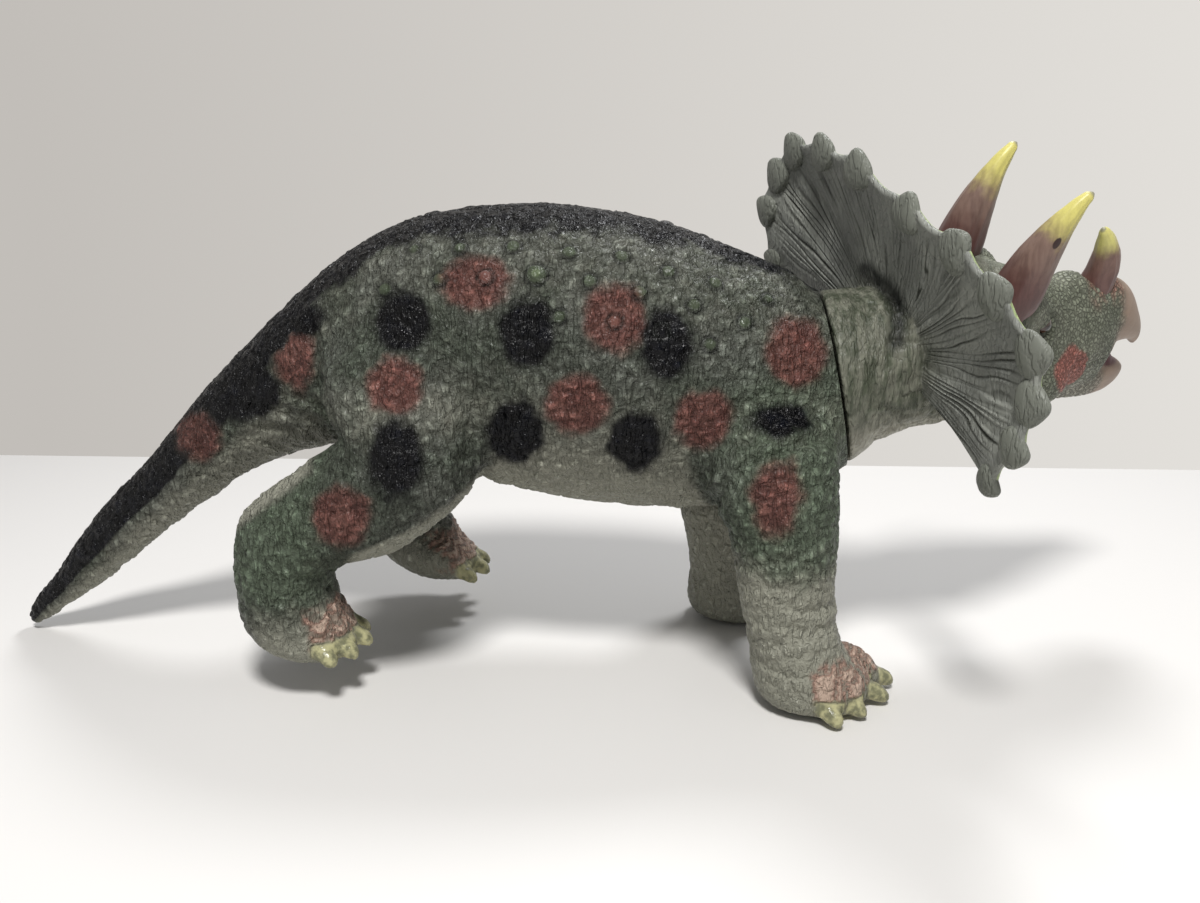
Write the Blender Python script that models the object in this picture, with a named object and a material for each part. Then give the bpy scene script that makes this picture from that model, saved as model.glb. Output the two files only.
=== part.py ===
"""Toy horned dinosaur: a hollow soft-vinyl body, a head on a snap plug, three horns and two eyes.

The body frame has +X forward along the trunk, +Y to the animal's left and +Z up, with the ground
at Z = 0. The head frame sits ahead of the neck opening, turned to the left and rolled.
Every size is in metres. Tables of shares are multiples of the named sizes that they follow.
"""
from math import cos, pi, radians, sin

import bmesh
import bpy
from mathutils import Matrix, Vector

# Vinyl skins and fits
WALL = 0.0035
GAP = 0.0003
CUT_OVERRUN = 0.002
SHARP_ANGLE = 50

# Trunk
TRUNK_LENGTH = 0.1965
TRUNK_HEIGHT = 0.140
TRUNK_WIDTH = 0.118
BACK_HEIGHT = 0.231
TRUNK_SIDES = 20
CAVITY_SIDES = 14

# Neck opening of the body, and the snap plug of the head that turns in it
NECK_HEIGHT = 0.149
NECK_RADIUS = 0.043
NECK_TILT = radians(11.4)
SEAM_GAP = 0.0012
PLUG_CLEARANCE = 0.0005
SNAP_DEPTH = 0.003
SNAP_ROOM = 0.0022
BEAD_LENGTH = 0.0045
PLUG_WALL = 0.0045
PLUG_SIDES = 40

# Tail
TAIL_REACH = 0.231
TAIL_ROOT_DEPTH = 0.120
TAIL_ROOT_WIDTH = 0.104

# Front legs
SHOULDER_SETBACK = 0.0345
FRONT_LEG_HEIGHT = 0.150
FRONT_LEG_SPREAD = 0.0505
FRONT_LEG_DEPTH = 0.046
FRONT_LEG_WIDTH = 0.044
FRONT_STRIDE = 0.0165

# Hind legs, whose soles hover above the ground
HIP_HEIGHT = 0.190
HIND_SOLE_LIFT = 0.019
HIND_LEG_SPREAD = 0.0535
HIND_LEG_DEPTH = 0.047
HIND_LEG_WIDTH = 0.045
HIND_STRIDE = 0.0205
LEG_SIDES = 14
LEG_CAVITY_SIDES = 10

# Toes with their claws
FRONT_TOE_LENGTH = 0.029
HIND_TOE_LENGTH = 0.023
TOE_RADIUS = 0.0092
TOE_SIDES = 8

# Head, in its own frame
HEAD_TURN = radians(28.3)
HEAD_ROLL = radians(23.4)
HEAD_REACH = 0.0322
HEAD_RISE = 0.0065
HEAD_LENGTH = 0.160
HEAD_WIDTH = 0.078
HEAD_HEIGHT = 0.076
HEAD_SIDES = 20
HEAD_CAVITY_SIDES = 14

# Frill and the bosses along its rim
FRILL_WIDTH = 0.222
FRILL_RISE = 0.084
FRILL_SWEEP = 0.018
FRILL_DISH = 0.0045
FRILL_ROOT_THICKNESS = 0.009
FRILL_RIM_THICKNESS = 0.0042
BOSS_HEIGHT = 0.009
BOSS_WIDTH = 0.0145
BOSS_THICKNESS = 0.0088
BOSS_SIDES = 8

# Horns
BROW_HORN_LENGTH = 0.064
BROW_HORN_RADIUS = 0.0115
BROW_HORN_SPREAD = 0.022
NOSE_HORN_LENGTH = 0.034
NOSE_HORN_RADIUS = 0.0080
HORN_LIP = 0.0024
HORN_LIP_LENGTH = 0.013
HORN_SIDES = 14

# Eyes
EYE_RADIUS = 0.0050
EYE_BULGE = 0.0022

# Swellings of the head's skin, and round knobs of the back
SWELL_SIDES = 10
KNOB_RADIUS = 0.0042
KNOB_HEIGHT = 0.0019
KNOB_SIDES = 6

# Trunk stations from the neck to the hips: along, top of the back, half height, half width,
# and the slope of the section in degrees
TRUNK_SHARES = [
    (0.074, 0.866, 0.379, 0.398, 8),
    (0.155, 0.892, 0.414, 0.432, 4),
    (0.267, 0.922, 0.456, 0.466, 1),
    (0.420, 0.965, 0.498, 0.492, 0),
    (0.572, 0.990, 0.512, 0.500, 0),
    (0.725, 1.000, 0.504, 0.492, 0),
    (0.868, 0.994, 0.479, 0.483, 5),
]
TAIL_ROOT_TOP_SHARE = 0.958

# Tail stations from the hips to the tip: along, centre height, half depth, half width, slope
TAIL_SHARES = [
    (0.000, 1.000, 0.500, 0.500, 14),
    (0.095, 0.969, 0.425, 0.442, 26),
    (0.190, 0.906, 0.366, 0.370, 35),
    (0.305, 0.838, 0.283, 0.305, 41),
    (0.441, 0.729, 0.210, 0.240, 45),
    (0.593, 0.551, 0.151, 0.182, 48),
    (0.748, 0.363, 0.125, 0.143, 50),
    (0.883, 0.180, 0.086, 0.094, 52),
    (0.974, 0.062, 0.050, 0.056, 54),
]
TAIL_TIP_SHARE = (1.000, 0.027, 0.031, 56)

# Front leg stations from the shoulder to the sole: forward, stride, outward, height,
# half depth and half width
FRONT_LEG_SHARES = [
    (0.000, 0.25, 0.50, 1.000, 0.520, 0.380),
    (-0.010, 0.33, 0.82, 0.873, 0.680, 0.520),
    (-0.023, 0.55, 0.97, 0.720, 0.652, 0.523),
    (-0.013, 0.79, 1.00, 0.567, 0.543, 0.511),
    (0.000, 0.82, 1.00, 0.413, 0.500, 0.500),
    (0.020, 0.82, 1.00, 0.280, 0.478, 0.489),
    (0.043, 0.86, 1.00, 0.180, 0.500, 0.505),
    (0.070, 0.94, 1.00, 0.113, 0.592, 0.525),
    (0.070, 1.00, 1.00, 0.060, 0.565, 0.511),
    (0.093, 1.00, 1.00, 0.020, 0.485, 0.430),
    (0.107, 1.00, 1.00, 0.000, 0.380, 0.330),
]

# Hind leg stations from the hip to the sole: forward, stride, outward, height, half depth,
# half width and the pitch of the section in degrees
HIND_LEG_SHARES = [
    (0.023, 0.00, 0.38, 1.000, 0.550, 0.440, 0),
    (0.000, 0.00, 0.55, 0.913, 0.780, 0.520, 0),
    (-0.026, 0.00, 0.69, 0.814, 0.850, 0.560, 4),
    (-0.017, 0.05, 0.84, 0.698, 0.820, 0.600, 12),
    (-0.002, 0.12, 0.94, 0.558, 0.690, 0.585, 22),
    (-0.070, 0.20, 0.97, 0.494, 0.700, 0.560, 27),
    (-0.159, 0.35, 1.00, 0.419, 0.690, 0.545, 29),
    (-0.268, 0.55, 1.00, 0.345, 0.590, 0.515, 24),
    (-0.285, 0.70, 1.00, 0.262, 0.504, 0.500, 7),
    (-0.267, 0.82, 1.00, 0.169, 0.511, 0.495, -4),
    (-0.227, 0.93, 1.00, 0.081, 0.543, 0.505, 0),
    (-0.186, 1.00, 1.00, 0.026, 0.470, 0.430, 0),
    (-0.174, 1.00, 1.00, 0.000, 0.370, 0.330, 0),
]

# Knobs of each side of the back, from the neck to the hips: along the trunk, and degrees round
# the section from its top
KNOB_SHARES = [(0.17, 41), (0.22, 56), (0.29, 40), (0.30, 68), (0.32, 7), (0.34, 54), (0.40, 41),
               (0.41, 67), (0.43, 9), (0.46, 53), (0.51, 39), (0.52, 66), (0.54, 8), (0.58, 52),
               (0.63, 40), (0.64, 67), (0.66, 7), (0.70, 52), (0.76, 39), (0.78, 8), (0.81, 54)]

# A knob from under the skin to its flat crown: outwards in knob heights, and girth
KNOB_RING_SHARES = [(-1.0, 1.0), (0.35, 1.0), (1.0, 0.45)]

# The row of a leg's table whose middle the toes are placed from
TOE_ROW = -3

# Claw tips from the outer toe to the inner one: ahead of the foot's middle in leg depths, inward
# of it in leg widths, and the toe's heading in degrees, inward positive
FRONT_TOE_SHARES = [(0.20, -0.55, -50), (0.46, -0.32, -26), (0.73, 0.03, -4), (0.84, 0.42, 14)]
HIND_TOE_SHARES = [(0.46, -0.43, -38), (0.62, -0.21, -18), (0.67, 0.12, 0), (0.57, 0.42, 14)]

# A toe from its root to the claw's tip: along, radius, height of its centre in radii
TOE_SHARES = [(0.0, 0.80, 1.80), (0.30, 1.00, 1.80), (0.60, 0.88, 1.35), (0.80, 0.58, 0.90),
              (1.0, 0.30, 0.55)]

# Head sections from the nape to the muzzle: forward, half width, top, bottom
SKULL_SHARES = [
    (0.062, 0.500, 0.526, -0.434),
    (0.219, 0.481, 0.605, -0.421),
    (0.375, 0.436, 0.545, -0.408),
    (0.531, 0.372, 0.462, -0.395),
    (0.656, 0.314, 0.462, -0.395),
    (0.750, 0.250, 0.440, -0.430),
    (0.819, 0.192, 0.382, -0.440),
    (0.862, 0.141, 0.316, -0.395),
]
CROWN_TAPER_SHARE = 0.30
CAVITY_SECTIONS = 6
COLLAR_WAIST_SHARES = (0.50, 0.90)
UPPER_BEAK_SHARES = [
    (0.780, 0.160, 0.400, 0.000),
    (0.862, 0.135, 0.329, -0.040),
    (0.925, 0.103, 0.217, -0.040),
    (0.969, 0.071, 0.118, -0.066),
    (0.997, 0.040, 0.020, -0.105),
    (1.006, 0.013, -0.080, -0.124),
]
LOWER_BEAK_SHARES = [
    (0.780, 0.150, -0.171, -0.480),
    (0.875, 0.128, -0.184, -0.480),
    (0.938, 0.103, -0.211, -0.450),
    (0.975, 0.064, -0.237, -0.382),
    (0.994, 0.032, -0.263, -0.329),
]
TONGUE_SHARES = [(0.840, 0.080, -0.120, -0.200), (0.900, 0.072, -0.155, -0.215),
                 (0.925, 0.030, -0.180, -0.215)]

# Frill: boss tips from the apex to the lowest, in sweeps back, half widths and rises
FRILL_TIP_SHARES = [(1.09, 0.0, 1.0), (1.22, 0.376, 1.018), (1.23, 0.656, 0.946),
                    (1.07, 0.906, 0.795), (1.06, 0.995, 0.579), (1.04, 1.009, 0.312),
                    (0.68, 0.922, -0.017)]
FRILL_ROW_SHARES = [0.28, 0.42, 0.56, 0.70, 0.84, 1.0]
RIM_SETBACK_SHARE = 0.40

# Rise of the rim above the bosses' feet in boss heights, from one boss to the next
SCALLOP_SHARES = [0.30, 0.22, 0.12, 0.22]

# A boss from inside the rim to its tip: outwards in boss heights, half width, half thickness
BOSS_SHARES = [(-1.12, 0.36, 0.36), (-0.45, 0.49, 0.46), (0.30, 0.47, 0.46), (0.78, 0.33, 0.34),
               (1.0, 0.14, 0.16)]

# Horn centre lines in horn lengths from the root: forward, outward, up, and radius
BROW_HORN_SHARES = [(0.0, 0.0, 0.0, 1.0), (0.030, 0.01, 0.20, 1.0), (0.055, 0.02, 0.42, 0.86),
                    (0.095, 0.035, 0.62, 0.66), (0.150, 0.050, 0.80, 0.43),
                    (0.220, 0.060, 0.94, 0.20), (0.245, 0.065, 0.98, 0.08)]
NOSE_HORN_SHARES = [(0.0, 0.0, 0.0, 1.0), (0.0, 0.0, 0.25, 1.0), (-0.075, 0.0, 0.53, 0.84),
                    (-0.190, 0.0, 0.77, 0.60), (-0.330, 0.0, 0.95, 0.33),
                    (-0.400, 0.0, 1.01, 0.14)]
HORN_LIP_SHARES = [(0.0, 1.0), (0.75, 1.0), (1.0, 0.5)]
BROW_HORN_ROOT_SHARES = (0.206, 0.410)
NOSE_HORN_ROOT_SHARES = (0.697, 0.368)
EYE_PLACE_SHARES = (0.381, 0.329)

# Swellings of each side of the head, brow, cheek and jowl: middle and half axes, each forward,
# outward and up
FACE_SWELL_SHARES = [
    ((0.225, 0.256, 0.415), (0.150, 0.180, 0.171)),
    ((0.412, 0.295, -0.105), (0.163, 0.154, 0.224)),
    ((0.250, 0.385, -0.184), (0.112, 0.154, 0.184)),
]
SWELL_RING_SHARES = [-0.94, -0.70, -0.26, 0.26, 0.70, 0.94]

# Colours
VINYL_GREEN = (0.105, 0.125, 0.085, 1.0)
FRILL_GREEN = (0.125, 0.145, 0.110, 1.0)
HORN_BROWN = (0.300, 0.100, 0.070, 1.0)
EYE_BLACK = (0.010, 0.010, 0.012, 1.0)
FIBRE_WHITE = (0.780, 0.770, 0.740, 1.0)

# Sizes of the neck joint that follow from the wall and the fits
OPENING_RADIUS = NECK_RADIUS - WALL - SNAP_DEPTH - SNAP_ROOM
GROOVE_RADIUS = OPENING_RADIUS - PLUG_CLEARANCE
BEAD_RADIUS = OPENING_RADIUS + SNAP_DEPTH
BORE_RADIUS = GROOVE_RADIUS - PLUG_WALL
GROOVE_END = WALL + GAP
PLUG_END = GROOVE_END + BEAD_LENGTH


def clear_scene():
    for item in list(bpy.data.objects):
        bpy.data.objects.remove(item, do_unlink=True)


def vinyl(name, colour, roughness):
    material = bpy.data.materials.new(name)
    material.use_nodes = True
    shader = material.node_tree.nodes["Principled BSDF"]
    shader.inputs["Base Color"].default_value = colour
    shader.inputs["Roughness"].default_value = roughness
    shader.inputs["Metallic"].default_value = 0.0
    material.diffuse_color = colour
    return material


def ring(centre, across, upright, half_across, half_up, sides):
    """An ellipse of points round a centre, spanned by two unit axes."""
    points = []
    for index in range(sides):
        angle = 2 * pi * index / sides
        points.append(centre + across * (half_across * cos(angle)) + upright * (half_up * sin(angle)))
    return points


def loft(name, rings):
    """A closed solid through rings of equal point counts, capped at both ends."""
    mesh = bpy.data.meshes.new(name)
    sketch = bmesh.new()
    rows = [[sketch.verts.new(point) for point in points] for points in rings]
    sides = len(rows[0])
    for row, next_row in zip(rows, rows[1:]):
        for index in range(sides):
            after = (index + 1) % sides
            sketch.faces.new((row[index], row[after], next_row[after]))
            sketch.faces.new((row[index], next_row[after], next_row[index]))
    sketch.faces.new(rows[0])
    sketch.faces.new(rows[-1])
    bmesh.ops.recalc_face_normals(sketch, faces=sketch.faces)
    sketch.to_mesh(mesh)
    sketch.free()
    solid = bpy.data.objects.new(name, mesh)
    bpy.context.collection.objects.link(solid)
    return solid


def combine(target, tool, operation):
    """Applies an exact Boolean to the target and removes the tool."""
    modifier = target.modifiers.new("combine", "BOOLEAN")
    modifier.operation = operation
    modifier.solver = "EXACT"
    modifier.object = tool
    tool.hide_render = True
    tool.display_type = "WIRE"
    graph = bpy.context.evaluated_depsgraph_get()
    result = bpy.data.meshes.new_from_object(target.evaluated_get(graph))
    target.modifiers.clear()
    target.data = result
    bpy.data.objects.remove(tool, do_unlink=True)


def join_all(target, tools):
    for tool in tools:
        combine(target, tool, "UNION")


def finish(solid, material):
    solid.data.materials.clear()
    solid.data.materials.append(material)
    solid.data.shade_smooth()
    solid.data.set_sharp_from_angle(angle=radians(SHARP_ANGLE))
    return solid


# Frames of the neck and the head
def neck_centre():
    return Vector((0.0, 0.0, NECK_HEIGHT))


def neck_axis():
    return Vector((cos(NECK_TILT), 0.0, sin(NECK_TILT)))


def neck_upright():
    return Vector((-sin(NECK_TILT), 0.0, cos(NECK_TILT)))


def left_axis():
    return Vector((0.0, 1.0, 0.0))


def head_frame():
    """The head's own axes and origin, as a matrix into the body frame."""
    origin = neck_centre() + neck_axis() * HEAD_REACH + neck_upright() * HEAD_RISE
    turn = Matrix.Rotation(HEAD_TURN, 4, "Z")
    roll = Matrix.Rotation(HEAD_ROLL, 4, "X")
    return Matrix.Translation(origin) @ turn @ roll


def neck_ring(offset, radius, sides):
    """A ring about the neck's axis, at a distance ahead of the seam."""
    centre = neck_centre() + neck_axis() * offset
    return ring(centre, left_axis(), neck_upright(), radius, radius, sides)


def body_rings(inset, sides):
    """Rings of the trunk and tail from the neck back, each drawn in by the inset."""
    rings = [neck_ring(-inset, NECK_RADIUS - inset, sides)]
    for along, top, half_height, half_width, slope in TRUNK_SHARES:
        angle = radians(slope)
        depth = half_height * TRUNK_HEIGHT
        centre = Vector((-along * TRUNK_LENGTH, 0.0, top * BACK_HEIGHT - depth * cos(angle)))
        upright = Vector((-sin(angle), 0.0, cos(angle)))
        rings.append(ring(centre, left_axis(), upright, half_width * TRUNK_WIDTH - inset,
                          depth - inset, sides))
    root_slope = radians(TAIL_SHARES[0][-1])
    root_height = TAIL_ROOT_TOP_SHARE * BACK_HEIGHT - TAIL_ROOT_DEPTH / 2 * cos(root_slope)
    for along, height, half_depth, half_width, slope in TAIL_SHARES:
        depth = half_depth * TAIL_ROOT_DEPTH
        width = half_width * TAIL_ROOT_WIDTH
        if min(depth, width) < 2 * inset:
            break
        angle = radians(slope)
        centre = Vector((-TRUNK_LENGTH - along * TAIL_REACH, 0.0, height * root_height))
        upright = Vector((-sin(angle), 0.0, cos(angle)))
        rings.append(ring(centre, left_axis(), upright, width - inset, depth - inset, sides))
    if inset == 0:
        rings.append(tail_tip_ring(sides))
    else:
        setback = (middle(rings[-2]) - middle(rings[-1])).normalized() * inset
        rings[-1] = [point + setback for point in rings[-1]]
    return rings


def middle(points):
    return sum(points, Vector()) / len(points)


def tail_tip_ring(sides):
    """The last ring of the tail, whose lowest point lies on the ground."""
    along, half_depth, half_width, slope = TAIL_TIP_SHARE
    angle = radians(slope)
    depth = half_depth * TAIL_ROOT_DEPTH
    centre = Vector((-TRUNK_LENGTH - along * TAIL_REACH, 0.0, depth * cos(angle)))
    upright = Vector((-sin(angle), 0.0, cos(angle)))
    return ring(centre, left_axis(), upright, half_width * TAIL_ROOT_WIDTH, depth, sides)


def front_leg_centre(side, forward, stride, outward, height):
    """A point of a front leg's centre line: side is -1 for the right leg and 1 for the left."""
    step = -side * stride * FRONT_STRIDE
    return Vector((forward * FRONT_LEG_HEIGHT - SHOULDER_SETBACK + step,
                   side * outward * FRONT_LEG_SPREAD, height * FRONT_LEG_HEIGHT))


def front_leg(side, inset, sides):
    rings = []
    for forward, stride, outward, height, half_depth, half_width in FRONT_LEG_SHARES:
        centre = front_leg_centre(side, forward, stride, outward, height)
        centre.z = max(centre.z, inset)
        if height == 1:
            centre.z -= inset
        if height == 0 or centre.z > inset:
            rings.append(ring(centre, Vector((1.0, 0.0, 0.0)), left_axis(),
                              half_depth * FRONT_LEG_DEPTH - inset,
                              half_width * FRONT_LEG_WIDTH - inset, sides))
    return loft("front_leg", rings)


def hind_leg_centre(side, forward, stride, outward, height):
    """A point of a hind leg's centre line: the right leg trails and the left one leads."""
    leg_height = HIP_HEIGHT - HIND_SOLE_LIFT
    return Vector((forward * leg_height - TRUNK_LENGTH + side * stride * HIND_STRIDE,
                   side * outward * HIND_LEG_SPREAD, HIND_SOLE_LIFT + height * leg_height))


def hind_leg(side, inset, sides):
    rings = []
    lowest = HIND_SOLE_LIFT + inset
    for forward, stride, outward, height, half_depth, half_width, pitch in HIND_LEG_SHARES:
        centre = hind_leg_centre(side, forward, stride, outward, height)
        centre.z = max(centre.z, lowest)
        if height == 1:
            centre.z -= inset
        if height == 0 or centre.z > lowest:
            angle = radians(pitch)
            fore = Vector((cos(angle), 0.0, -sin(angle)))
            rings.append(ring(centre, fore, left_axis(), half_depth * HIND_LEG_DEPTH - inset,
                              half_width * HIND_LEG_WIDTH - inset, sides))
    return loft("hind_leg", rings)


def toe(root, heading, length):
    """A toe and its claw, from inside the foot outwards along a level heading."""
    across = Vector((-heading.y, heading.x, 0.0))
    rings = []
    for along, radius, height in TOE_SHARES:
        centre = root + heading * (along * length)
        centre.z += height * TOE_RADIUS
        rings.append(ring(centre, across, Vector((0.0, 0.0, 1.0)), radius * TOE_RADIUS,
                          radius * TOE_RADIUS, TOE_SIDES))
    return loft("toe", rings)


def toes(side, foot, depth, width, table, length):
    """The toes of one foot, whose claws clear the sole's plane."""
    made = []
    for forward, inward, degrees in table:
        angle = radians(degrees)
        heading = Vector((cos(angle), -side * sin(angle), 0.0))
        tip = foot + Vector((forward * depth, -side * inward * width, 0.0))
        made.append(toe(tip - heading * length, heading, length))
    return made


def body_volume(inset, sides, leg_sides):
    """Trunk, tail and legs as one solid, drawn in by the inset."""
    volume = loft("body_volume", body_rings(inset, sides))
    for side in (-1, 1):
        join_all(volume, [front_leg(side, inset, leg_sides), hind_leg(side, inset, leg_sides)])
    return volume


def add_toes(skin):
    for side in (-1, 1):
        forward, stride, outward = FRONT_LEG_SHARES[TOE_ROW][:3]
        foot = front_leg_centre(side, forward, stride, outward, 0.0)
        join_all(skin, toes(side, foot, FRONT_LEG_DEPTH, FRONT_LEG_WIDTH, FRONT_TOE_SHARES,
                            FRONT_TOE_LENGTH))
        forward, stride, outward = HIND_LEG_SHARES[TOE_ROW][:3]
        foot = hind_leg_centre(side, forward, stride, outward, 0.0)
        join_all(skin, toes(side, foot, HIND_LEG_DEPTH, HIND_LEG_WIDTH, HIND_TOE_SHARES,
                            HIND_TOE_LENGTH))


def trunk_section(along):
    """Centre height, half height and half width of the trunk at a share of its length."""
    for before, after in zip(TRUNK_SHARES, TRUNK_SHARES[1:]):
        if before[0] <= along <= after[0]:
            place = (along - before[0]) / (after[0] - before[0])
            top, height, width = [low + (high - low) * place
                                  for low, high in zip(before[1:4], after[1:4])]
            depth = height * TRUNK_HEIGHT
            return top * BACK_HEIGHT - depth, depth, width * TRUNK_WIDTH


def knob(side, along, degrees):
    """A low round knob on the skin, rooted under it."""
    centre_height, depth, width = trunk_section(along)
    angle = radians(degrees)
    foot = Vector((-along * TRUNK_LENGTH, side * width * sin(angle),
                   centre_height + depth * cos(angle)))
    outwards = Vector((0.0, side * sin(angle) / width, cos(angle) / depth)).normalized()
    fore = Vector((1.0, 0.0, 0.0))
    rings = []
    for lift, girth in KNOB_RING_SHARES:
        rings.append(ring(foot + outwards * (lift * KNOB_HEIGHT), fore, outwards.cross(fore),
                          girth * KNOB_RADIUS, girth * KNOB_RADIUS, KNOB_SIDES))
    return loft("knob", rings)


def knobs():
    """All knobs as one tool of separate solids."""
    return gathered([knob(side, along, degrees) for side in (-1, 1)
                     for along, degrees in KNOB_SHARES])


def gathered(solids):
    """Moves the meshes of separate solids into the first of them."""
    sketch = bmesh.new()
    for solid in solids:
        sketch.from_mesh(solid.data)
    sketch.to_mesh(solids[0].data)
    sketch.free()
    for solid in solids[1:]:
        bpy.data.objects.remove(solid, do_unlink=True)
    return solids[0]


def make_body_skin(material):
    skin = body_volume(0.0, TRUNK_SIDES, LEG_SIDES)
    skin.name = "body_skin"
    combine(skin, knobs(), "UNION")
    add_toes(skin)
    combine(skin, body_volume(WALL, CAVITY_SIDES, LEG_CAVITY_SIDES), "DIFFERENCE")
    opening = loft("neck_opening", [neck_ring(offset, OPENING_RADIUS, PLUG_SIDES)
                                    for offset in (CUT_OVERRUN, -WALL - CUT_OVERRUN)])
    combine(skin, opening, "DIFFERENCE")
    return finish(skin, material)


def make_body_stuffing(material):
    stuffing = body_volume(WALL + GAP, CAVITY_SIDES, LEG_CAVITY_SIDES)
    stuffing.name = "body_stuffing"
    room = loft("plug_room", [neck_ring(offset, BEAD_RADIUS + GAP, PLUG_SIDES)
                              for offset in (0.0, -PLUG_END - GAP)])
    combine(stuffing, room, "DIFFERENCE")
    return finish(stuffing, material)


# Head
def head_point(forward, outward, up):
    return head_frame() @ Vector((forward, outward, up))


def head_axis(forward, outward, up):
    return head_frame().to_3x3() @ Vector((forward, outward, up))


def head_section(shares, inset, sides):
    """A section square to the head's own forward axis, narrower above than below."""
    forward, half_width, top, bottom = shares
    half_height = (top - bottom) / 2 * HEAD_HEIGHT - inset
    middle_height = (top + bottom) / 2 * HEAD_HEIGHT
    points = []
    for index in range(sides):
        angle = 2 * pi * index / sides
        narrowing = 1 - CROWN_TAPER_SHARE * max(sin(angle), 0.0)
        outward = (half_width * HEAD_WIDTH - inset) * cos(angle) * narrowing
        points.append(head_point(forward * HEAD_LENGTH, outward,
                                 middle_height + half_height * sin(angle)))
    return points


def collar_waist(inset, sides):
    """The ring half way from the seam to the nape, between the two frames."""
    along, girth = COLLAR_WAIST_SHARES
    forward, half_width, top, bottom = SKULL_SHARES[0]
    nape = head_point(forward * HEAD_LENGTH, 0.0, (top + bottom) / 2 * HEAD_HEIGHT)
    centre = neck_centre().lerp(nape, along)
    across = left_axis().lerp(head_axis(0.0, 1.0, 0.0), along).normalized()
    upright = neck_upright().lerp(head_axis(0.0, 0.0, 1.0), along).normalized()
    radius = NECK_RADIUS * (1 - along) + half_width * HEAD_WIDTH * along
    return ring(centre, across, upright, girth * radius - inset, girth * radius - inset, sides)


def head_beak(name, shares):
    return loft(name, [head_section(row, 0.0, HEAD_SIDES // 2) for row in shares])


def head_cavity(inset, back_offset, bore_radius):
    """The hollow of the head, from behind the plug to the muzzle."""
    rings = [neck_ring(back_offset, bore_radius, HEAD_CAVITY_SIDES),
             neck_ring(SEAM_GAP, bore_radius, HEAD_CAVITY_SIDES),
             neck_ring(SEAM_GAP + 2 * WALL, NECK_RADIUS - 2 * inset, HEAD_CAVITY_SIDES),
             collar_waist(inset, HEAD_CAVITY_SIDES)]
    rings += [head_section(row, inset, HEAD_CAVITY_SIDES) for row in SKULL_SHARES[:CAVITY_SECTIONS]]
    return loft("head_cavity", rings)


def frill_tips():
    """Boss tips from the lowest right one over the apex to the lowest left one."""
    half = [Vector((-back * FRILL_SWEEP, outward * FRILL_WIDTH / 2, up * FRILL_RISE))
            for back, outward, up in FRILL_TIP_SHARES]
    return [Vector((tip.x, -tip.y, tip.z)) for tip in half[:0:-1]] + half


def frill_columns():
    """Points of the tips' curve, each with the rim's rise above the bosses' feet."""
    tips = frill_tips()
    steps = len(SCALLOP_SHARES)
    columns = []
    for index in range(len(tips) - 1):
        before = tips[max(index - 1, 0)]
        after = tips[min(index + 2, len(tips) - 1)]
        for step in range(steps):
            place = step / steps
            point = spline(before, tips[index], tips[index + 1], after, place)
            columns.append((point, SCALLOP_SHARES[step]))
    columns.append((tips[-1], SCALLOP_SHARES[0]))
    return columns


def spline(before, start, end, after, place):
    """A point between start and end on the smooth curve through four points."""
    square = place * place
    cube = square * place
    return 0.5 * ((2 * start) + (end - before) * place
                  + (2 * before - 5 * start + 4 * end - after) * square
                  + (3 * start - before - 3 * end + after) * cube)


def make_frill():
    """A dished fan: a grid of front and back points from the root out to the scalloped rim."""
    sketch = bmesh.new()
    grid = []
    for tip, scallop in frill_columns():
        outwards = Vector((0.0, tip.y, tip.z)).normalized()
        rim = tip - outwards * (BOSS_HEIGHT * (1 - scallop))
        column = []
        for reach in FRILL_ROW_SHARES:
            place = rim * reach
            thick = FRILL_ROOT_THICKNESS * (1 - reach) + FRILL_RIM_THICKNESS * reach
            middle_back = place.x + FRILL_DISH * (sin(pi * reach) - RIM_SETBACK_SHARE)
            pair = [head_point(middle_back + half * thick, place.y, place.z)
                    for half in (0.5, -0.5)]
            column.append([sketch.verts.new(point) for point in pair])
        grid.append(column)
    for column, next_column in zip(grid, grid[1:]):
        for row in range(len(column) - 1):
            for face in (0, 1):
                outer = next_column[row + 1][face]
                sketch.faces.new((column[row][face], column[row + 1][face], outer))
                sketch.faces.new((column[row][face], outer, next_column[row][face]))
        for row in (0, -1):
            sketch.faces.new((column[row][0], column[row][1], next_column[row][1]))
            sketch.faces.new((column[row][0], next_column[row][1], next_column[row][0]))
    for column in (grid[0], grid[-1]):
        for low, high in zip(column, column[1:]):
            sketch.faces.new((low[0], low[1], high[1], high[0]))
    bmesh.ops.recalc_face_normals(sketch, faces=sketch.faces)
    mesh = bpy.data.meshes.new("frill")
    sketch.to_mesh(mesh)
    sketch.free()
    frill = bpy.data.objects.new("frill", mesh)
    bpy.context.collection.objects.link(frill)
    return frill


def boss(tip):
    """A blunt tooth that stands on the rim and is thicker than it."""
    outwards = Vector((0.0, tip.y, tip.z)).normalized()
    across = Vector((0.0, -outwards.z, outwards.y))
    foot = tip - outwards * BOSS_HEIGHT
    foot.x -= RIM_SETBACK_SHARE * FRILL_DISH
    rings = []
    for lift, half_width, half_thickness in BOSS_SHARES:
        points = ring(foot + outwards * (lift * BOSS_HEIGHT), across, Vector((1.0, 0.0, 0.0)),
                      half_width * BOSS_WIDTH, half_thickness * BOSS_THICKNESS, BOSS_SIDES)
        rings.append([head_frame() @ point for point in points])
    return loft("boss", rings)


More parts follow.
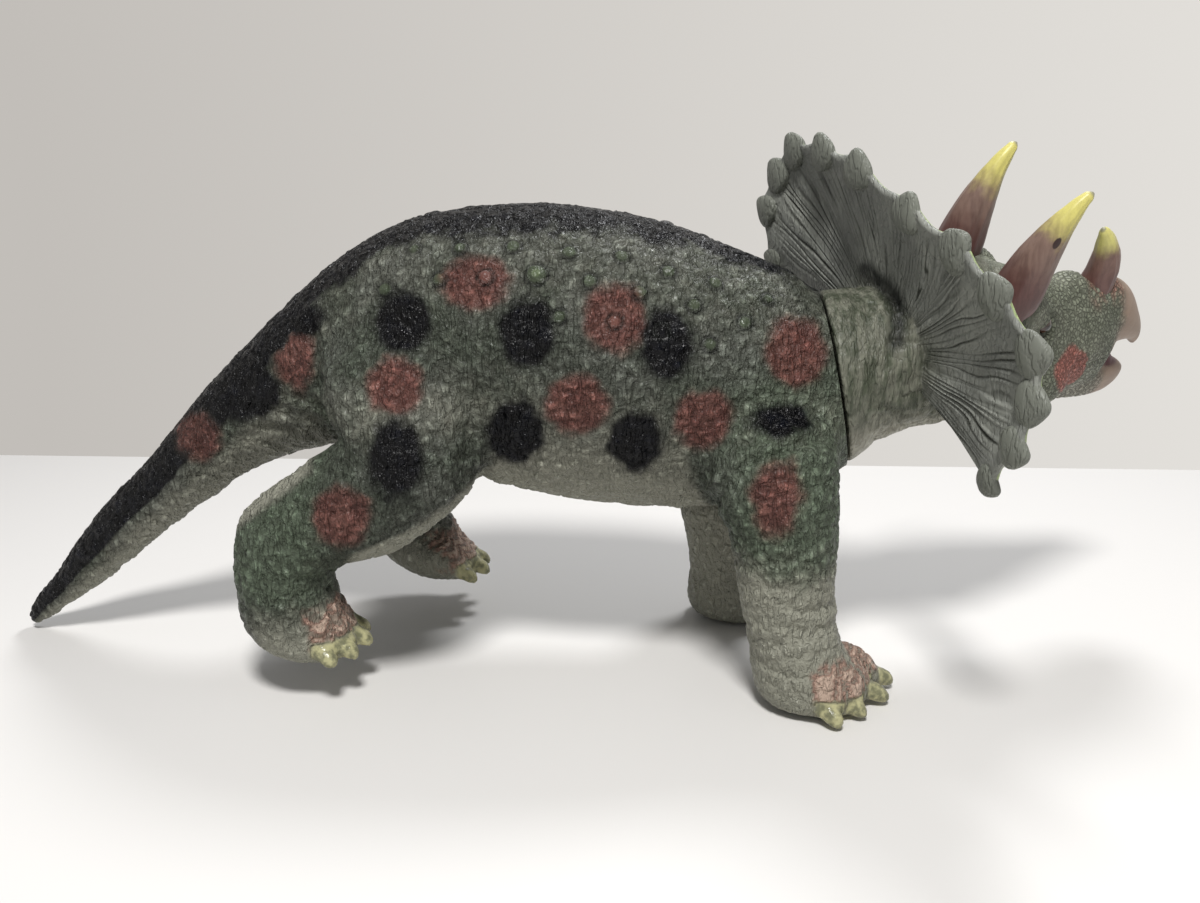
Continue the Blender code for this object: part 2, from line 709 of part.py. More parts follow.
def swelling(side, centre, half_axes):
    """An egg-shaped swelling of the head's skin."""
    rings = []
    for along in SWELL_RING_SHARES:
        girth = (1 - along * along) ** 0.5
        points = ring(Vector(((centre[0] + along * half_axes[0]) * HEAD_LENGTH,
                              side * centre[1] * HEAD_WIDTH, centre[2] * HEAD_HEIGHT)),
                      Vector((0.0, 1.0, 0.0)), Vector((0.0, 0.0, 1.0)),
                      girth * half_axes[1] * HEAD_WIDTH, girth * half_axes[2] * HEAD_HEIGHT,
                      SWELL_SIDES)
        rings.append([head_frame() @ point for point in points])
    return loft("swelling", rings)


def swellings():
    return [swelling(side, centre, half_axes) for side in (-1, 1)
            for centre, half_axes in FACE_SWELL_SHARES]


def horn(name, root, side, length, radius, shares, extra):
    """A curved horn in the head frame, grown by extra all over for its socket."""
    places = [Vector((root.x + forward * length, side * (root.y + outward * length),
                      root.z + up * length)) for forward, outward, up, girth in shares]
    rings = []
    for index, place in enumerate(places):
        before = places[max(index - 1, 0)]
        after = places[min(index + 1, len(places) - 1)]
        heading = (after - before).normalized()
        if index == 0:
            place = place - heading * extra
        across = Vector((0.0, 1.0, 0.0)).cross(heading).normalized()
        aside = heading.cross(across)
        girth = shares[index][3] * radius + extra
        points = ring(place, across, aside, girth, girth, HORN_SIDES)
        rings.append([head_frame() @ point for point in points])
    return loft(name, rings)


def brow_root():
    along, up = BROW_HORN_ROOT_SHARES
    return Vector((along * HEAD_LENGTH, BROW_HORN_SPREAD, up * HEAD_HEIGHT))


def nose_root():
    along, up = NOSE_HORN_ROOT_SHARES
    return Vector((along * HEAD_LENGTH, 0.0, up * HEAD_HEIGHT))


def brow_horn(name, side, extra):
    return horn(name, brow_root(), side, BROW_HORN_LENGTH, BROW_HORN_RADIUS, BROW_HORN_SHARES, extra)


def nose_horn(name, extra):
    return horn(name, nose_root(), 1, NOSE_HORN_LENGTH, NOSE_HORN_RADIUS, NOSE_HORN_SHARES, extra)


def horn_seat(root, side, radius, shares):
    """The raised lip of skin round a horn's foot."""
    lean = Vector((shares[1][0], side * shares[1][1], shares[1][2])).normalized()
    foot = Vector((root.x, side * root.y, root.z))
    across = Vector((0.0, 1.0, 0.0)).cross(lean).normalized()
    aside = lean.cross(across)
    rings = []
    for along, lip in HORN_LIP_SHARES:
        girth = radius + lip * HORN_LIP
        points = ring(foot + lean * (along * HORN_LIP_LENGTH), across, aside, girth, girth,
                      HORN_SIDES)
        rings.append([head_frame() @ point for point in points])
    return loft("horn_seat", rings)


def eye(name, side, extra):
    """A bead set in the side of the skull, standing out by the bulge."""
    along, up = EYE_PLACE_SHARES
    forward, half_width, top, bottom = SKULL_SHARES[2]
    rise = (2 * up - top - bottom) / (top - bottom)
    narrowing = 1 - CROWN_TAPER_SHARE * rise
    surface = half_width * HEAD_WIDTH * (1 - rise * rise) ** 0.5 * narrowing
    centre = head_point(along * HEAD_LENGTH, side * (surface + EYE_BULGE - EYE_RADIUS),
                        up * HEAD_HEIGHT)
    mesh = bpy.data.meshes.new(name)
    sketch = bmesh.new()
    bmesh.ops.create_uvsphere(sketch, u_segments=12, v_segments=8, radius=EYE_RADIUS + extra,
                              matrix=Matrix.Translation(centre))
    sketch.to_mesh(mesh)
    sketch.free()
    bead = bpy.data.objects.new(name, mesh)
    bpy.context.collection.objects.link(bead)
    return bead


def make_plug():
    """The snap plug: a groove that runs in the neck's lip and a bead behind it."""
    profile = [(SEAM_GAP + WALL, GROOVE_RADIUS), (-GROOVE_END, GROOVE_RADIUS),
               (-GROOVE_END, BEAD_RADIUS), (-GROOVE_END - BEAD_LENGTH / 2, BEAD_RADIUS),
               (-PLUG_END, GROOVE_RADIUS)]
    return loft("plug", [neck_ring(offset, radius, PLUG_SIDES) for offset, radius in profile])


def cut_sockets(solid):
    for side in (-1, 1):
        combine(solid, brow_horn("socket", side, GAP), "DIFFERENCE")
        combine(solid, eye("socket", side, GAP), "DIFFERENCE")
    combine(solid, nose_horn("socket", GAP), "DIFFERENCE")


def make_head_skin(material):
    rings = [neck_ring(SEAM_GAP, NECK_RADIUS, HEAD_SIDES), collar_waist(0.0, HEAD_SIDES)]
    rings += [head_section(row, 0.0, HEAD_SIDES) for row in SKULL_SHARES]
    skin = loft("head_skin", rings)
    seats = [horn_seat(brow_root(), side, BROW_HORN_RADIUS, BROW_HORN_SHARES) for side in (-1, 1)]
    seats.append(horn_seat(nose_root(), 1, NOSE_HORN_RADIUS, NOSE_HORN_SHARES))
    beaks = [head_beak("upper_beak", UPPER_BEAK_SHARES), head_beak("lower_beak", LOWER_BEAK_SHARES),
             head_beak("tongue", TONGUE_SHARES)]
    join_all(skin, [make_frill(), make_plug()] + beaks + swellings() + seats)
    combine(skin, head_cavity(WALL, -PLUG_END - CUT_OVERRUN, BORE_RADIUS), "DIFFERENCE")
    cut_sockets(skin)
    combine(skin, gathered([boss(tip) for tip in frill_tips()]), "UNION")
    return finish(skin, material)


def make_head_stuffing(material):
    stuffing = head_cavity(WALL + GAP, -PLUG_END, BORE_RADIUS - GAP)
    stuffing.name = "head_stuffing"
    cut_sockets(stuffing)
    return finish(stuffing, material)


def make_horns(material):
    horns = [brow_horn("right_brow_horn", -1, 0.0), brow_horn("left_brow_horn", 1, 0.0),
             nose_horn("nose_horn", 0.0)]
    return [finish(piece, material) for piece in horns]


def make_eyes(material):
    return [finish(eye("right_eye", -1, 0.0), material), finish(eye("left_eye", 1, 0.0), material)]


def footprint_shift(pieces):
    """The shift that puts the middle of the figure's footprint at the origin."""
    points = [corner for piece in pieces for corner in (vertex.co for vertex in piece.data.vertices)]
    low = [min(point[axis] for point in points) for axis in range(3)]
    high = [max(point[axis] for point in points) for axis in range(3)]
    return Vector((-(low[0] + high[0]) / 2, -(low[1] + high[1]) / 2, -low[2]))


def main():
    clear_scene()
    body_green = vinyl("body_vinyl", VINYL_GREEN, 0.45)
    head_green = vinyl("head_vinyl", FRILL_GREEN, 0.50)
    horn_brown = vinyl("horn_vinyl", HORN_BROWN, 0.35)
    eye_black = vinyl("eye_gloss", EYE_BLACK, 0.10)
    fibre = vinyl("fibre_filling", FIBRE_WHITE, 0.95)
    body = [make_body_skin(body_green), make_body_stuffing(fibre)]
    head = [make_head_skin(head_green), make_head_stuffing(fibre)]
    head += make_horns(horn_brown) + make_eyes(eye_black)
    shift = footprint_shift(body + head)
    for piece in body:
        piece.location = shift
    swivel = bpy.data.objects.new("neck_swivel_axis", None)
    bpy.context.collection.objects.link(swivel)
    swivel.location = shift + neck_centre()
    swivel.rotation_euler = (0.0, -NECK_TILT, 0.0)
    bpy.context.view_layer.update()
    for piece in head:
        piece.data.transform(swivel.matrix_world.inverted() @ Matrix.Translation(shift))
        piece.parent = swivel


main()
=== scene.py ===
import math

import bmesh
import bpy
import numpy as np
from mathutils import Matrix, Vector
from mathutils.bvhtree import BVHTree


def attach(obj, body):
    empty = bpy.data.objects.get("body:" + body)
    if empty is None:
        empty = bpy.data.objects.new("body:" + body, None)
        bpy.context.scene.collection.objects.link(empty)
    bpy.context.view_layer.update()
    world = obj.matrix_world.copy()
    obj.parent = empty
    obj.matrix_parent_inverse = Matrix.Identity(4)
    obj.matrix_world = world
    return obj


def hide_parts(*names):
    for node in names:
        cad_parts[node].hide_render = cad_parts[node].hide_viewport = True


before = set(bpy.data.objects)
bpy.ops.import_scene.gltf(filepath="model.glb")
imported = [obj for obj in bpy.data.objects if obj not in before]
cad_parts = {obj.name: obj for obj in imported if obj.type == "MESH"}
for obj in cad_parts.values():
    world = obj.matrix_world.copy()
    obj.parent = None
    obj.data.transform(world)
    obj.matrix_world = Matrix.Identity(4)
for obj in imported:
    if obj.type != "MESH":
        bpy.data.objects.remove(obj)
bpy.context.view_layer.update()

# All forms are worked out in millimetres, with X = 0 at the neck opening, and moved into the
# frame of the CAD at the end.
ORIGIN = np.array([0.129315, 0.014883, 0.0])
CAMERA = np.array([-67.7, -533.0, 260.2])
LOOK = np.array([-0.0805, 0.9588, -0.2723])
RIGHT = np.array([LOOK[1], -LOOK[0], 0.0]) / math.hypot(LOOK[0], LOOK[1])
FOCAL, CENTRE_X, CENTRE_Y, WIDTH = 1100.0, 600.0, 451.5, 1200
SENSOR = 36.0


def unit(v):
    v = np.asarray(v, float)
    return v / np.linalg.norm(v, axis=-1, keepdims=True)


LOOK = unit(LOOK)
OVER = np.cross(RIGHT, LOOK)


def to_row(p):
    return np.asarray(p, float) * 0.001 + ORIGIN


def sight(px, py):
    return unit(LOOK + RIGHT * (px - CENTRE_X) / FOCAL - OVER * (py - CENTRE_Y) / FOCAL)


def near(lo, hi, x):
    """Smooth step: 0 at lo, 1 at hi."""
    t = np.clip((x - lo) / (hi - lo), 0.0, 1.0)
    return t * t * (3.0 - 2.0 * t)


# ---------------------------------------------------------------- noise

def cell_hash(i, j, k, seed):
    n = (i * 374761393 + j * 668265263 + k * 1440662683 + seed * 974711) & 0xFFFFFFFF
    n = ((n ^ (n >> 13)) * 1274126177) & 0xFFFFFFFF
    n = ((n ^ (n >> 16)) * 2246822519) & 0xFFFFFFFF
    return (n ^ (n >> 15)) / 4294967295.0


def value_noise(p, seed=0):
    base = np.floor(p).astype(np.int64)
    f = p - base
    f = f * f * f * (f * (f * 6 - 15) + 10)
    out = np.zeros(len(p))
    for a in (0, 1):
        for b in (0, 1):
            for c in (0, 1):
                w = (f[:, 0] if a else 1 - f[:, 0]) * (f[:, 1] if b else 1 - f[:, 1]) \
                    * (f[:, 2] if c else 1 - f[:, 2])
                out += w * cell_hash(base[:, 0] + a, base[:, 1] + b, base[:, 2] + c, seed)
    return out * 2.0 - 1.0


def fbm(p, octaves=3, seed=0):
    out, amp, total = 0.0, 1.0, 0.0
    for o in range(octaves):
        out = out + amp * value_noise(p * 2.03 ** o + 17.3 * o, seed + o)
        total += amp
        amp *= 0.5
    return out / total


def drift(p, size, seed):
    """Three soft noises at once, by which points are pushed about."""
    return np.stack([value_noise(p / size, seed + i) for i in range(3)], 1)


def cells(p, seed=0, jitter=0.9):
    """Distances to the nearest and the second nearest scattered point, and the nearest's number."""
    base = np.floor(p).astype(np.int64)
    f1 = np.full(len(p), 9.0)
    f2 = np.full(len(p), 9.0)
    who = np.zeros(len(p))
    for a in (-1, 0, 1):
        for b in (-1, 0, 1):
            for c in (-1, 0, 1):
                i, j, k = base[:, 0] + a, base[:, 1] + b, base[:, 2] + c
                d = np.zeros(len(p))
                for axis, cell in enumerate((i, j, k)):
                    spot = cell + 0.5 + jitter * (cell_hash(i, j, k, seed + 7 * axis) - 0.5)
                    d += (p[:, axis] - spot) ** 2
                d = np.sqrt(d)
                closer = d < f1
                f2 = np.where(closer, f1, np.minimum(f2, d))
                who = np.where(closer, cell_hash(i, j, k, seed + 31), who)
                f1 = np.minimum(f1, d)
    return f1, f2, who


# ---------------------------------------------------------------- meshes

def spline(rows, count):
    """Rows of numbers, drawn smoothly through all of them by the length of their first three."""
    rows = np.asarray(rows, float)
    step = np.maximum(np.linalg.norm(np.diff(rows[:, :3], axis=0), axis=1), 1e-6)
    t = np.concatenate([[0.0], np.cumsum(step)])
    h = np.diff(t)
    slope = np.diff(rows, axis=0) / h[:, None]
    tangent = np.zeros_like(rows)
    tangent[1:-1] = (slope[:-1] * h[1:, None] + slope[1:] * h[:-1, None]) / (h[1:] + h[:-1])[:, None]
    tangent[0], tangent[-1] = slope[0], slope[-1]
    at = np.linspace(0, t[-1], count)
    i = np.clip(np.searchsorted(t, at, side="right") - 1, 0, len(h) - 1)
    u = ((at - t[i]) / h[i])[:, None]
    hh = h[i][:, None]
    return ((2 * u ** 3 - 3 * u ** 2 + 1) * rows[i] + (u ** 3 - 2 * u ** 2 + u) * hh * tangent[i]
            + (-2 * u ** 3 + 3 * u ** 2) * rows[i + 1] + (u ** 3 - u ** 2) * hh * tangent[i + 1])


def tube_faces(rows, sides):
    """The faces of a closed tube, whose two end points come after its rows of points."""
    steps = [(j, (j + 1) % sides) for j in range(sides)]
    faces = [(i * sides + j, i * sides + k, (i + 1) * sides + k, (i + 1) * sides + j)
             for i in range(rows - 1) for j, k in steps]
    for j, k in steps:
        faces += [(rows * sides, k, j), (rows * sides + 1, (rows - 1) * sides + j, (rows - 1) * sides + k)]
    return faces


def tube(sections, sides, power=2.0):
    """A closed tube. Each section is a centre and its two half axes, nine numbers."""
    s = np.asarray(sections, float)
    angle = np.linspace(0, 2 * math.pi, sides, endpoint=False)
    c, d = np.cos(angle), np.sin(angle)
    c = np.sign(c) * np.abs(c) ** (2 / power)
    d = np.sign(d) * np.abs(d) ** (2 / power)
    v = (s[:, None, 0:3] + s[:, None, 3:6] * c[None, :, None] + s[:, None, 6:9] * d[None, :, None])
    return np.vstack([v.reshape(-1, 3), s[0, :3], s[-1, :3]]), tube_faces(len(s), sides)


def ellipsoid(centre, a, b, c, sides=28, rings=15):
    """A ball drawn out along three half axes."""
    t = np.linspace(-0.49 * math.pi, 0.49 * math.pi, rings)
    centre, a, b, c = (np.asarray(x, float) for x in (centre, a, b, c))
    return tube([np.concatenate([centre + a * math.sin(x), b * math.cos(x), c * math.cos(x)])
                 for x in t], sides)


def together(parts):
    vs, fs, base = [], [], 0
    for v, f in parts:
        vs.append(v)
        fs += [tuple(i + base for i in face) for face in f]
        base += len(v)
    return np.vstack(vs), fs


def linked(name, data):
    obj = bpy.data.objects.new(name, data)
    bpy.context.scene.collection.objects.link(obj)
    return obj


def build(name, v, faces):
    mesh = bpy.data.meshes.new(name)
    mesh.from_pydata(to_row(v).tolist(), [], faces)
    mesh.validate()
    bm_flip(mesh)
    return linked(name, mesh)


def bm_flip(mesh):
    """Turns a closed mesh's faces outwards, shell by shell."""
    bm = bmesh.new()
    bm.from_mesh(mesh)
    bmesh.ops.recalc_face_normals(bm, faces=bm.faces[:])
    bm.to_mesh(mesh)
    bm.free()


def applied(obj):
    """Puts the object's modifiers into its mesh."""
    bpy.context.view_layer.update()
    dg = bpy.context.evaluated_depsgraph_get()
    mesh = bpy.data.meshes.new_from_object(obj.evaluated_get(dg))
    old = obj.data
    obj.modifiers.clear()
    obj.data = mesh
    bpy.data.meshes.remove(old)
    return obj


def remeshed(obj, voxel):
    m = obj.modifiers.new("voxels", "REMESH")
    m.mode = "VOXEL"
    m.voxel_size = voxel * 0.001
    return applied(obj)


def cut(obj, other, how="DIFFERENCE"):
    m = obj.modifiers.new("cut", "BOOLEAN")
    m.object = other
    m.operation = how
    m.solver = "MANIFOLD"
    applied(obj)
    bpy.data.objects.remove(other)
    return obj


def points(mesh):
    co = np.zeros(len(mesh.vertices) * 3)
    mesh.vertices.foreach_get("co", co)
    return (co.reshape(-1, 3) - ORIGIN) * 1000.0


def put_points(mesh, p):
    mesh.vertices.foreach_set("co", to_row(p).ravel())
    mesh.update()


def edges(mesh):
    e = np.zeros(len(mesh.edges) * 2, np.int32)
    mesh.edges.foreach_get("vertices", e)
    return e.reshape(-1, 2)


def spread(values, e, n):
    """Each point's mean over its neighbours."""
    deg = np.maximum(np.bincount(e.ravel(), minlength=n), 1)
    cols = values.reshape(n, -1)
    out = np.stack([np.bincount(e[:, 0], cols[e[:, 1], k], n) + np.bincount(e[:, 1], cols[e[:, 0], k], n)
                    for k in range(cols.shape[1])], 1) / deg[:, None]
    return out.reshape(values.shape)


def relax(p, e, weight, times):
    w = np.broadcast_to(np.asarray(weight, float), (len(p),))[:, None]
    for _ in range(times):
        p = p + w * (spread(p, e, len(p)) - p)
    return p


def normals(mesh):
    n = np.zeros(len(mesh.vertices) * 3)
    mesh.vertex_normals.foreach_get("vector", n)
    return n.reshape(-1, 3)


def paint(mesh, name, values):
    if name in mesh.attributes:
        mesh.attributes.remove(mesh.attributes[name])
    a = mesh.attributes.new(name, "FLOAT", "POINT")
    a.data.foreach_set("value", np.asarray(values, np.float32))


def read(mesh, name):
    values = np.zeros(len(mesh.vertices))
    mesh.attributes[name].data.foreach_get("value", values)
    return values


# ---------------------------------------------------------------- the body's form

NECK = np.array([0.0, 0.0, 149.0])
TILT = math.radians(11.4)
NECK_AXIS = np.array([math.cos(TILT), 0.0, math.sin(TILT)])
NECK_UP = np.array([-math.sin(TILT), 0.0, math.cos(TILT)])
LEFT = np.array([0.0, 1.0, 0.0])

# The finest voxels of the skins, the toes' lengths, how high the hind feet hang over the table, and
# the place between the fore and the hind legs.
VOXEL = 1.45
FRONT_TOE, HIND_TOE = 29.0, 25.0
HIND_FLOOR, MIDDLE = 19.0, -130.0

# Trunk and tail: x, side, height, half height, half width, slope in degrees.
SPINE = [
    (14.0, 0, 151.8, 43.0, 43.0, 11.4), (0.0, 0, 149.0, 43.0, 43.0, 11.4),
    (-14.5, 0, 147.5, 53.1, 47.0, 8), (-30.5, 0, 148.2, 58.0, 51.0, 4), (-52.5, 0, 149.2, 63.8, 55.0, 1),
    (-82.5, 0, 153.2, 69.7, 58.1, 0), (-112.4, 0, 157.0, 71.7, 59.0, 0), (-142.5, 0, 160.4, 70.6, 58.1, 0),
    (-170.6, 0, 162.8, 67.1, 57.0, 5), (-196.5, 0, 163.1, 60.0, 52.0, 14), (-218.4, 0, 158.0, 51.0, 46.0, 26),
    (-240.4, 0, 147.8, 43.9, 38.5, 35), (-267.0, 0, 136.7, 34.0, 31.7, 41), (-298.4, 0, 118.9, 25.2, 25.0, 45),
    (-333.5, 0, 89.9, 18.1, 18.9, 48), (-369.3, 0, 59.2, 15.0, 14.9, 50), (-400.5, 0, 29.4, 10.3, 9.8, 52),
    (-421.5, 0, 10.1, 6.0, 5.8, 54), (-427.0, 0, 3.9, 3.0, 3.0, 56)]

# Legs: x, side, height, half depth, half width, pitch in degrees, stride.
FRONT_LEG = [
    (-34.5, 25.2, 150.0, 23.9, 16.7, 0, 4.1), (-36.0, 41.4, 130.9, 31.3, 22.9, 0, 5.4),
    (-38.0, 49.0, 108.0, 30.0, 23.0, 0, 9.1), (-36.5, 50.5, 85.0, 25.0, 22.5, 0, 13.0),
    (-34.5, 50.5, 61.9, 23.0, 22.0, 0, 13.5), (-31.5, 50.5, 42.0, 22.0, 21.5, 0, 13.5),
    (-28.1, 50.5, 27.0, 23.0, 22.2, 0, 14.2), (-24.0, 50.5, 16.9, 27.2, 23.1, 0, 15.5),
    (-24.0, 50.5, 9.0, 26.0, 22.5, 0, 16.5), (-21.5, 50.5, 2.6, 22.3, 18.9, 0, 16.5),
    (-20.0, 50.5, 0.2, 16.5, 13.5, 0, 16.5)]
HIND_LEG = [
    (-192.6, 20.3, 190.0, 25.9, 19.8, 0, 0), (-196.5, 29.4, 175.1, 36.7, 23.4, 0, 0),
    (-200.9, 36.9, 158.2, 39.9, 25.2, 4, 0), (-199.4, 44.9, 138.4, 38.5, 27.0, 12, 1.0),
    (-196.8, 50.3, 114.4, 32.4, 26.3, 22, 2.5), (-208.5, 51.9, 103.5, 32.9, 25.2, 27, 4.1),
    (-223.7, 53.5, 90.6, 32.4, 24.5, 29, 7.2), (-242.3, 53.5, 78.0, 27.7, 23.2, 24, 11.3),
    (-245.2, 53.5, 63.8, 23.7, 22.5, 7, 14.4), (-242.2, 53.5, 47.9, 24.0, 22.3, -4, 16.8),
    (-235.3, 53.5, 32.9, 25.5, 22.7, 0, 19.1), (-228.3, 53.5, 23.4, 22.1, 19.4, 0, 20.5),
    (-226.3, 53.5, 19.2, 16.4, 13.9, 0, 20.5)]
# Toes: ahead and outward of the foot's middle, and heading in degrees outward.
FRONT_FOOT, HIND_FOOT = (-24.0, 50.5, 0.0, 16.5), (-235.3, 53.5, HIND_FLOOR, -20.5)
FRONT_TOES = [(9.2, 24.2, 50), (21.2, 14.1, 26), (33.6, -1.3, 4), (38.6, -18.5, -14)]
HIND_TOES = [(21.6, 19.4, 38), (29.1, 9.5, 18), (31.5, -5.4, 0), (26.8, -18.9, -14)]


def neck_tube(rows, sides):
    """A round tube about the neck's axis: places along it, and radii."""
    return tube([np.concatenate([NECK + NECK_AXIS * t, NECK_UP * r, LEFT * r]) for t, r in rows], sides)


def spine_sections(inset, count):
    out = []
    for x, _, z, high, wide, slope in spline(SPINE, count):
        a = math.radians(slope)
        up = np.array([-math.sin(a), 0.0, math.cos(a)])
        out.append(np.concatenate([(x, 0, z), up * max(high - inset, 1.2), LEFT * max(wide - inset, 1.2)]))
    return out


def leg_sections(table, side, ahead, inset, count):
    out = []
    for x, y, z, deep, wide, pitch, stride in spline(table, count):
        a = math.radians(pitch)
        fore = np.array([math.cos(a), 0.0, -math.sin(a)])
        out.append(np.concatenate([(x - side * ahead * stride, side * y, z),
                                   fore * max(deep - inset, 2.0), LEFT * max(wide - inset, 2.0)]))
    return out


# A toe and its claw: share of the toe's length, half width, half depth, height.
TOE_ROWS = [(0.0, 8.2, 8.4, 17.5), (0.25, 9.3, 9.0, 17.0), (0.50, 9.0, 8.6, 14.2), (0.68, 7.9, 7.4, 11.0),
            (0.80, 6.4, 5.8, 8.6), (0.86, 3.0, 3.0, 7.6)]
CLAW_ROWS = [(0.62, 4.2, 4.0, 10.0), (0.80, 4.9, 4.7, 7.8), (0.98, 4.5, 4.5, 6.0), (1.10, 3.2, 3.4, 4.6),
             (1.15, 1.4, 1.6, 3.9)]


def toe_parts(foot, table, side, length):
    """Toes, and a blunt claw on each."""
    parts = []
    x0, y0, floor, stride = foot
    for ahead, out, turn in table:
        a = math.radians(turn)
        heading = np.array([math.cos(a), side * math.sin(a), 0.0])
        across = np.array([-heading[1], heading[0], 0.0])
        tip = np.array([x0 - side * stride + ahead, side * (y0 + out), floor])
        root = tip - heading * length
        for rows, count, sides, least in ((TOE_ROWS, 9, 16, 2.0), (CLAW_ROWS, 8, 14, 1.0)):
            rows = spline([(t * length, 0, h, w, d) for t, w, d, h in rows], count)
            parts.append(tube([np.concatenate([root + heading * t + (0, 0, h), (0, 0, max(d, least)),
                                               across * max(w, least)]) for t, _, h, w, d in rows], sides))
    return parts


def body_parts(inset=0.0, detail=1.0, toes=True):
    parts = [tube(spine_sections(inset, int(90 * detail)), int(56 * detail), 2.1)]
    for side in (-1, 1):
        parts.append(tube(leg_sections(FRONT_LEG, side, 1, inset, int(34 * detail)), int(36 * detail), 2.1))
        parts.append(tube(leg_sections(HIND_LEG, side, -1, inset, int(40 * detail)), int(36 * detail), 2.1))
        if toes:
            parts += toe_parts(FRONT_FOOT, FRONT_TOES, side, FRONT_TOE)
            parts += toe_parts(HIND_FOOT, HIND_TOES, side, HIND_TOE)
    return parts


AXIS = spline(SPINE, 320)


def on_spine(p):
    """The spine's nearest x, and the place up from it in half heights."""
    best = np.zeros(len(p), int)
    for s in range(0, len(p), 20000):
        d = (p[s:s + 20000, None, 0] - AXIS[None, :, 0]) ** 2 + (p[s:s + 20000, None, 2] - AXIS[None, :, 2]) ** 2
        best[s:s + 20000] = d.argmin(1)
    row = AXIS[best]
    a = np.radians(row[:, 5])
    up = ((p[:, 0] - row[:, 0]) * -np.sin(a) + (p[:, 2] - row[:, 2]) * np.cos(a)) / row[:, 3]
    return row[:, 0], up


def table_at(z, table, column):
    t = np.array(table)[::-1]
    return np.interp(z, t[:, 2], t[:, column])


def folded(p):
    """The far half laid over the near half, with its legs brought to the near legs' stride."""
    q = p.copy()
    q[:, 1] = -np.abs(p[:, 1])
    leg = near(24, 38, np.abs(p[:, 1])) * (p[:, 1] > 0)
    fore = leg * near(-110, -95, p[:, 0]) * near(150, 120, p[:, 2])
    hind = leg * near(-130, -145, p[:, 0]) * near(160, 120, p[:, 2])
    q[:, 0] += fore * 2 * table_at(p[:, 2], FRONT_LEG, 6) - hind * 2 * table_at(p[:, 2], HIND_LEG, 6)
    return q


def pixel(p):
    d = p - CAMERA
    w = d @ LOOK
    return CENTRE_X + FOCAL * (d @ RIGHT) / w, CENTRE_Y - FOCAL * (d @ OVER) / w


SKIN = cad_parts["body_skin"].data
BODY_TREE = BVHTree.FromPolygons([Vector(c) for c in points(SKIN)], [tuple(f.vertices) for f in SKIN.polygons])


def placed(px, py):
    """The point of the skin that a pixel of the photograph shows, and the pixel's size there."""
    d = sight(px, py)
    hit = BODY_TREE.ray_cast(Vector(CAMERA), Vector(d))[0]
    if hit is None:
        return None, 0.0
    hit = np.array(hit)
    return hit, float((hit - CAMERA) @ LOOK) / FOCAL


# Small round bumps of the back and flank, as pixels of the photograph: x, y, radius, height.
BUMPS = [(x, y, 8, 1.15) for x, y in (
    (476, 205), (521, 204), (572, 206), (625, 214), (667, 225), (705, 237), (416, 252), (461, 250), (513, 245),
    (569, 251), (622, 255), (669, 270), (716, 281), (770, 296), (386, 290), (440, 280), (485, 276), (590, 280),
    (640, 291), (695, 304), (746, 321), (559, 316), (615, 321), (662, 331), (711, 344), (430, 218))]
BUMPS += [(536, 273, 11, 1.5)]

# Creases: pixels, depth in millimetres, half width.
CREASES = [
    ([(715, 502), (728, 487), (750, 468), (775, 455), (800, 445), (822, 437)], 2.6, 2.6),
    ([(675, 500), (690, 492), (705, 478), (716, 462), (726, 440)], 1.4, 2.6),
    ([(480, 388), (472, 420), (468, 450), (460, 480), (458, 503)], 1.8, 3.2),
    ([(500, 395), (492, 430), (487, 462), (486, 485)], 1.0, 2.6),
    ([(310, 322), (316, 350), (322, 380), (331, 412), (341, 442)], 2.2, 2.6),
    ([(300, 398), (318, 404), (334, 416)], 1.0, 2.0),
    ([(268, 410), (290, 414), (318, 424), (336, 436)], 1.0, 2.0),
    ([(262, 428), (292, 432), (325, 441)], 0.9, 2.0),
    ([(300, 470), (322, 474), (352, 470), (380, 460)], 1.0, 2.4),
    ([(332, 572), (318, 578), (300, 580)], 1.3, 2.2),
    ([(335, 585), (318, 592), (298, 594)], 1.1, 2.0),
    ([(262, 500), (290, 510), (318, 506)], 0.8, 2.4),
    ([(836, 604), (815, 612), (790, 610)], 1.0, 2.2),
    ([(838, 622), (815, 632), (782, 628)], 1.1, 2.2),
    ([(752, 640), (775, 644), (800, 640)], 0.9, 2.2),
    ([(735, 560), (760, 566), (800, 560)], 0.7, 2.4),
    ([(645, 420), (650, 450), (648, 478)], 0.9, 3.0),
    ([(600, 380), (606, 430), (600, 470)], 0.6, 3.0),
    ([(540, 360), (546, 400), (540, 440)], 0.6, 3.0)]


def limb(f):
    """One on the legs, none on trunk and tail, with the points laid over the near half."""
    out = np.zeros(len(f))
    for table, ahead in ((FRONT_LEG, 1), (HIND_LEG, -1)):
        middle = table_at(f[:, 2], table, 0) + ahead * table_at(f[:, 2], table, 6)
        out = np.maximum(out, near(1.40, 1.05, np.abs(f[:, 0] - middle) / table_at(f[:, 2], table, 3)))
    return out * near(150, 120, f[:, 2]) * near(12, 24, -f[:, 1])


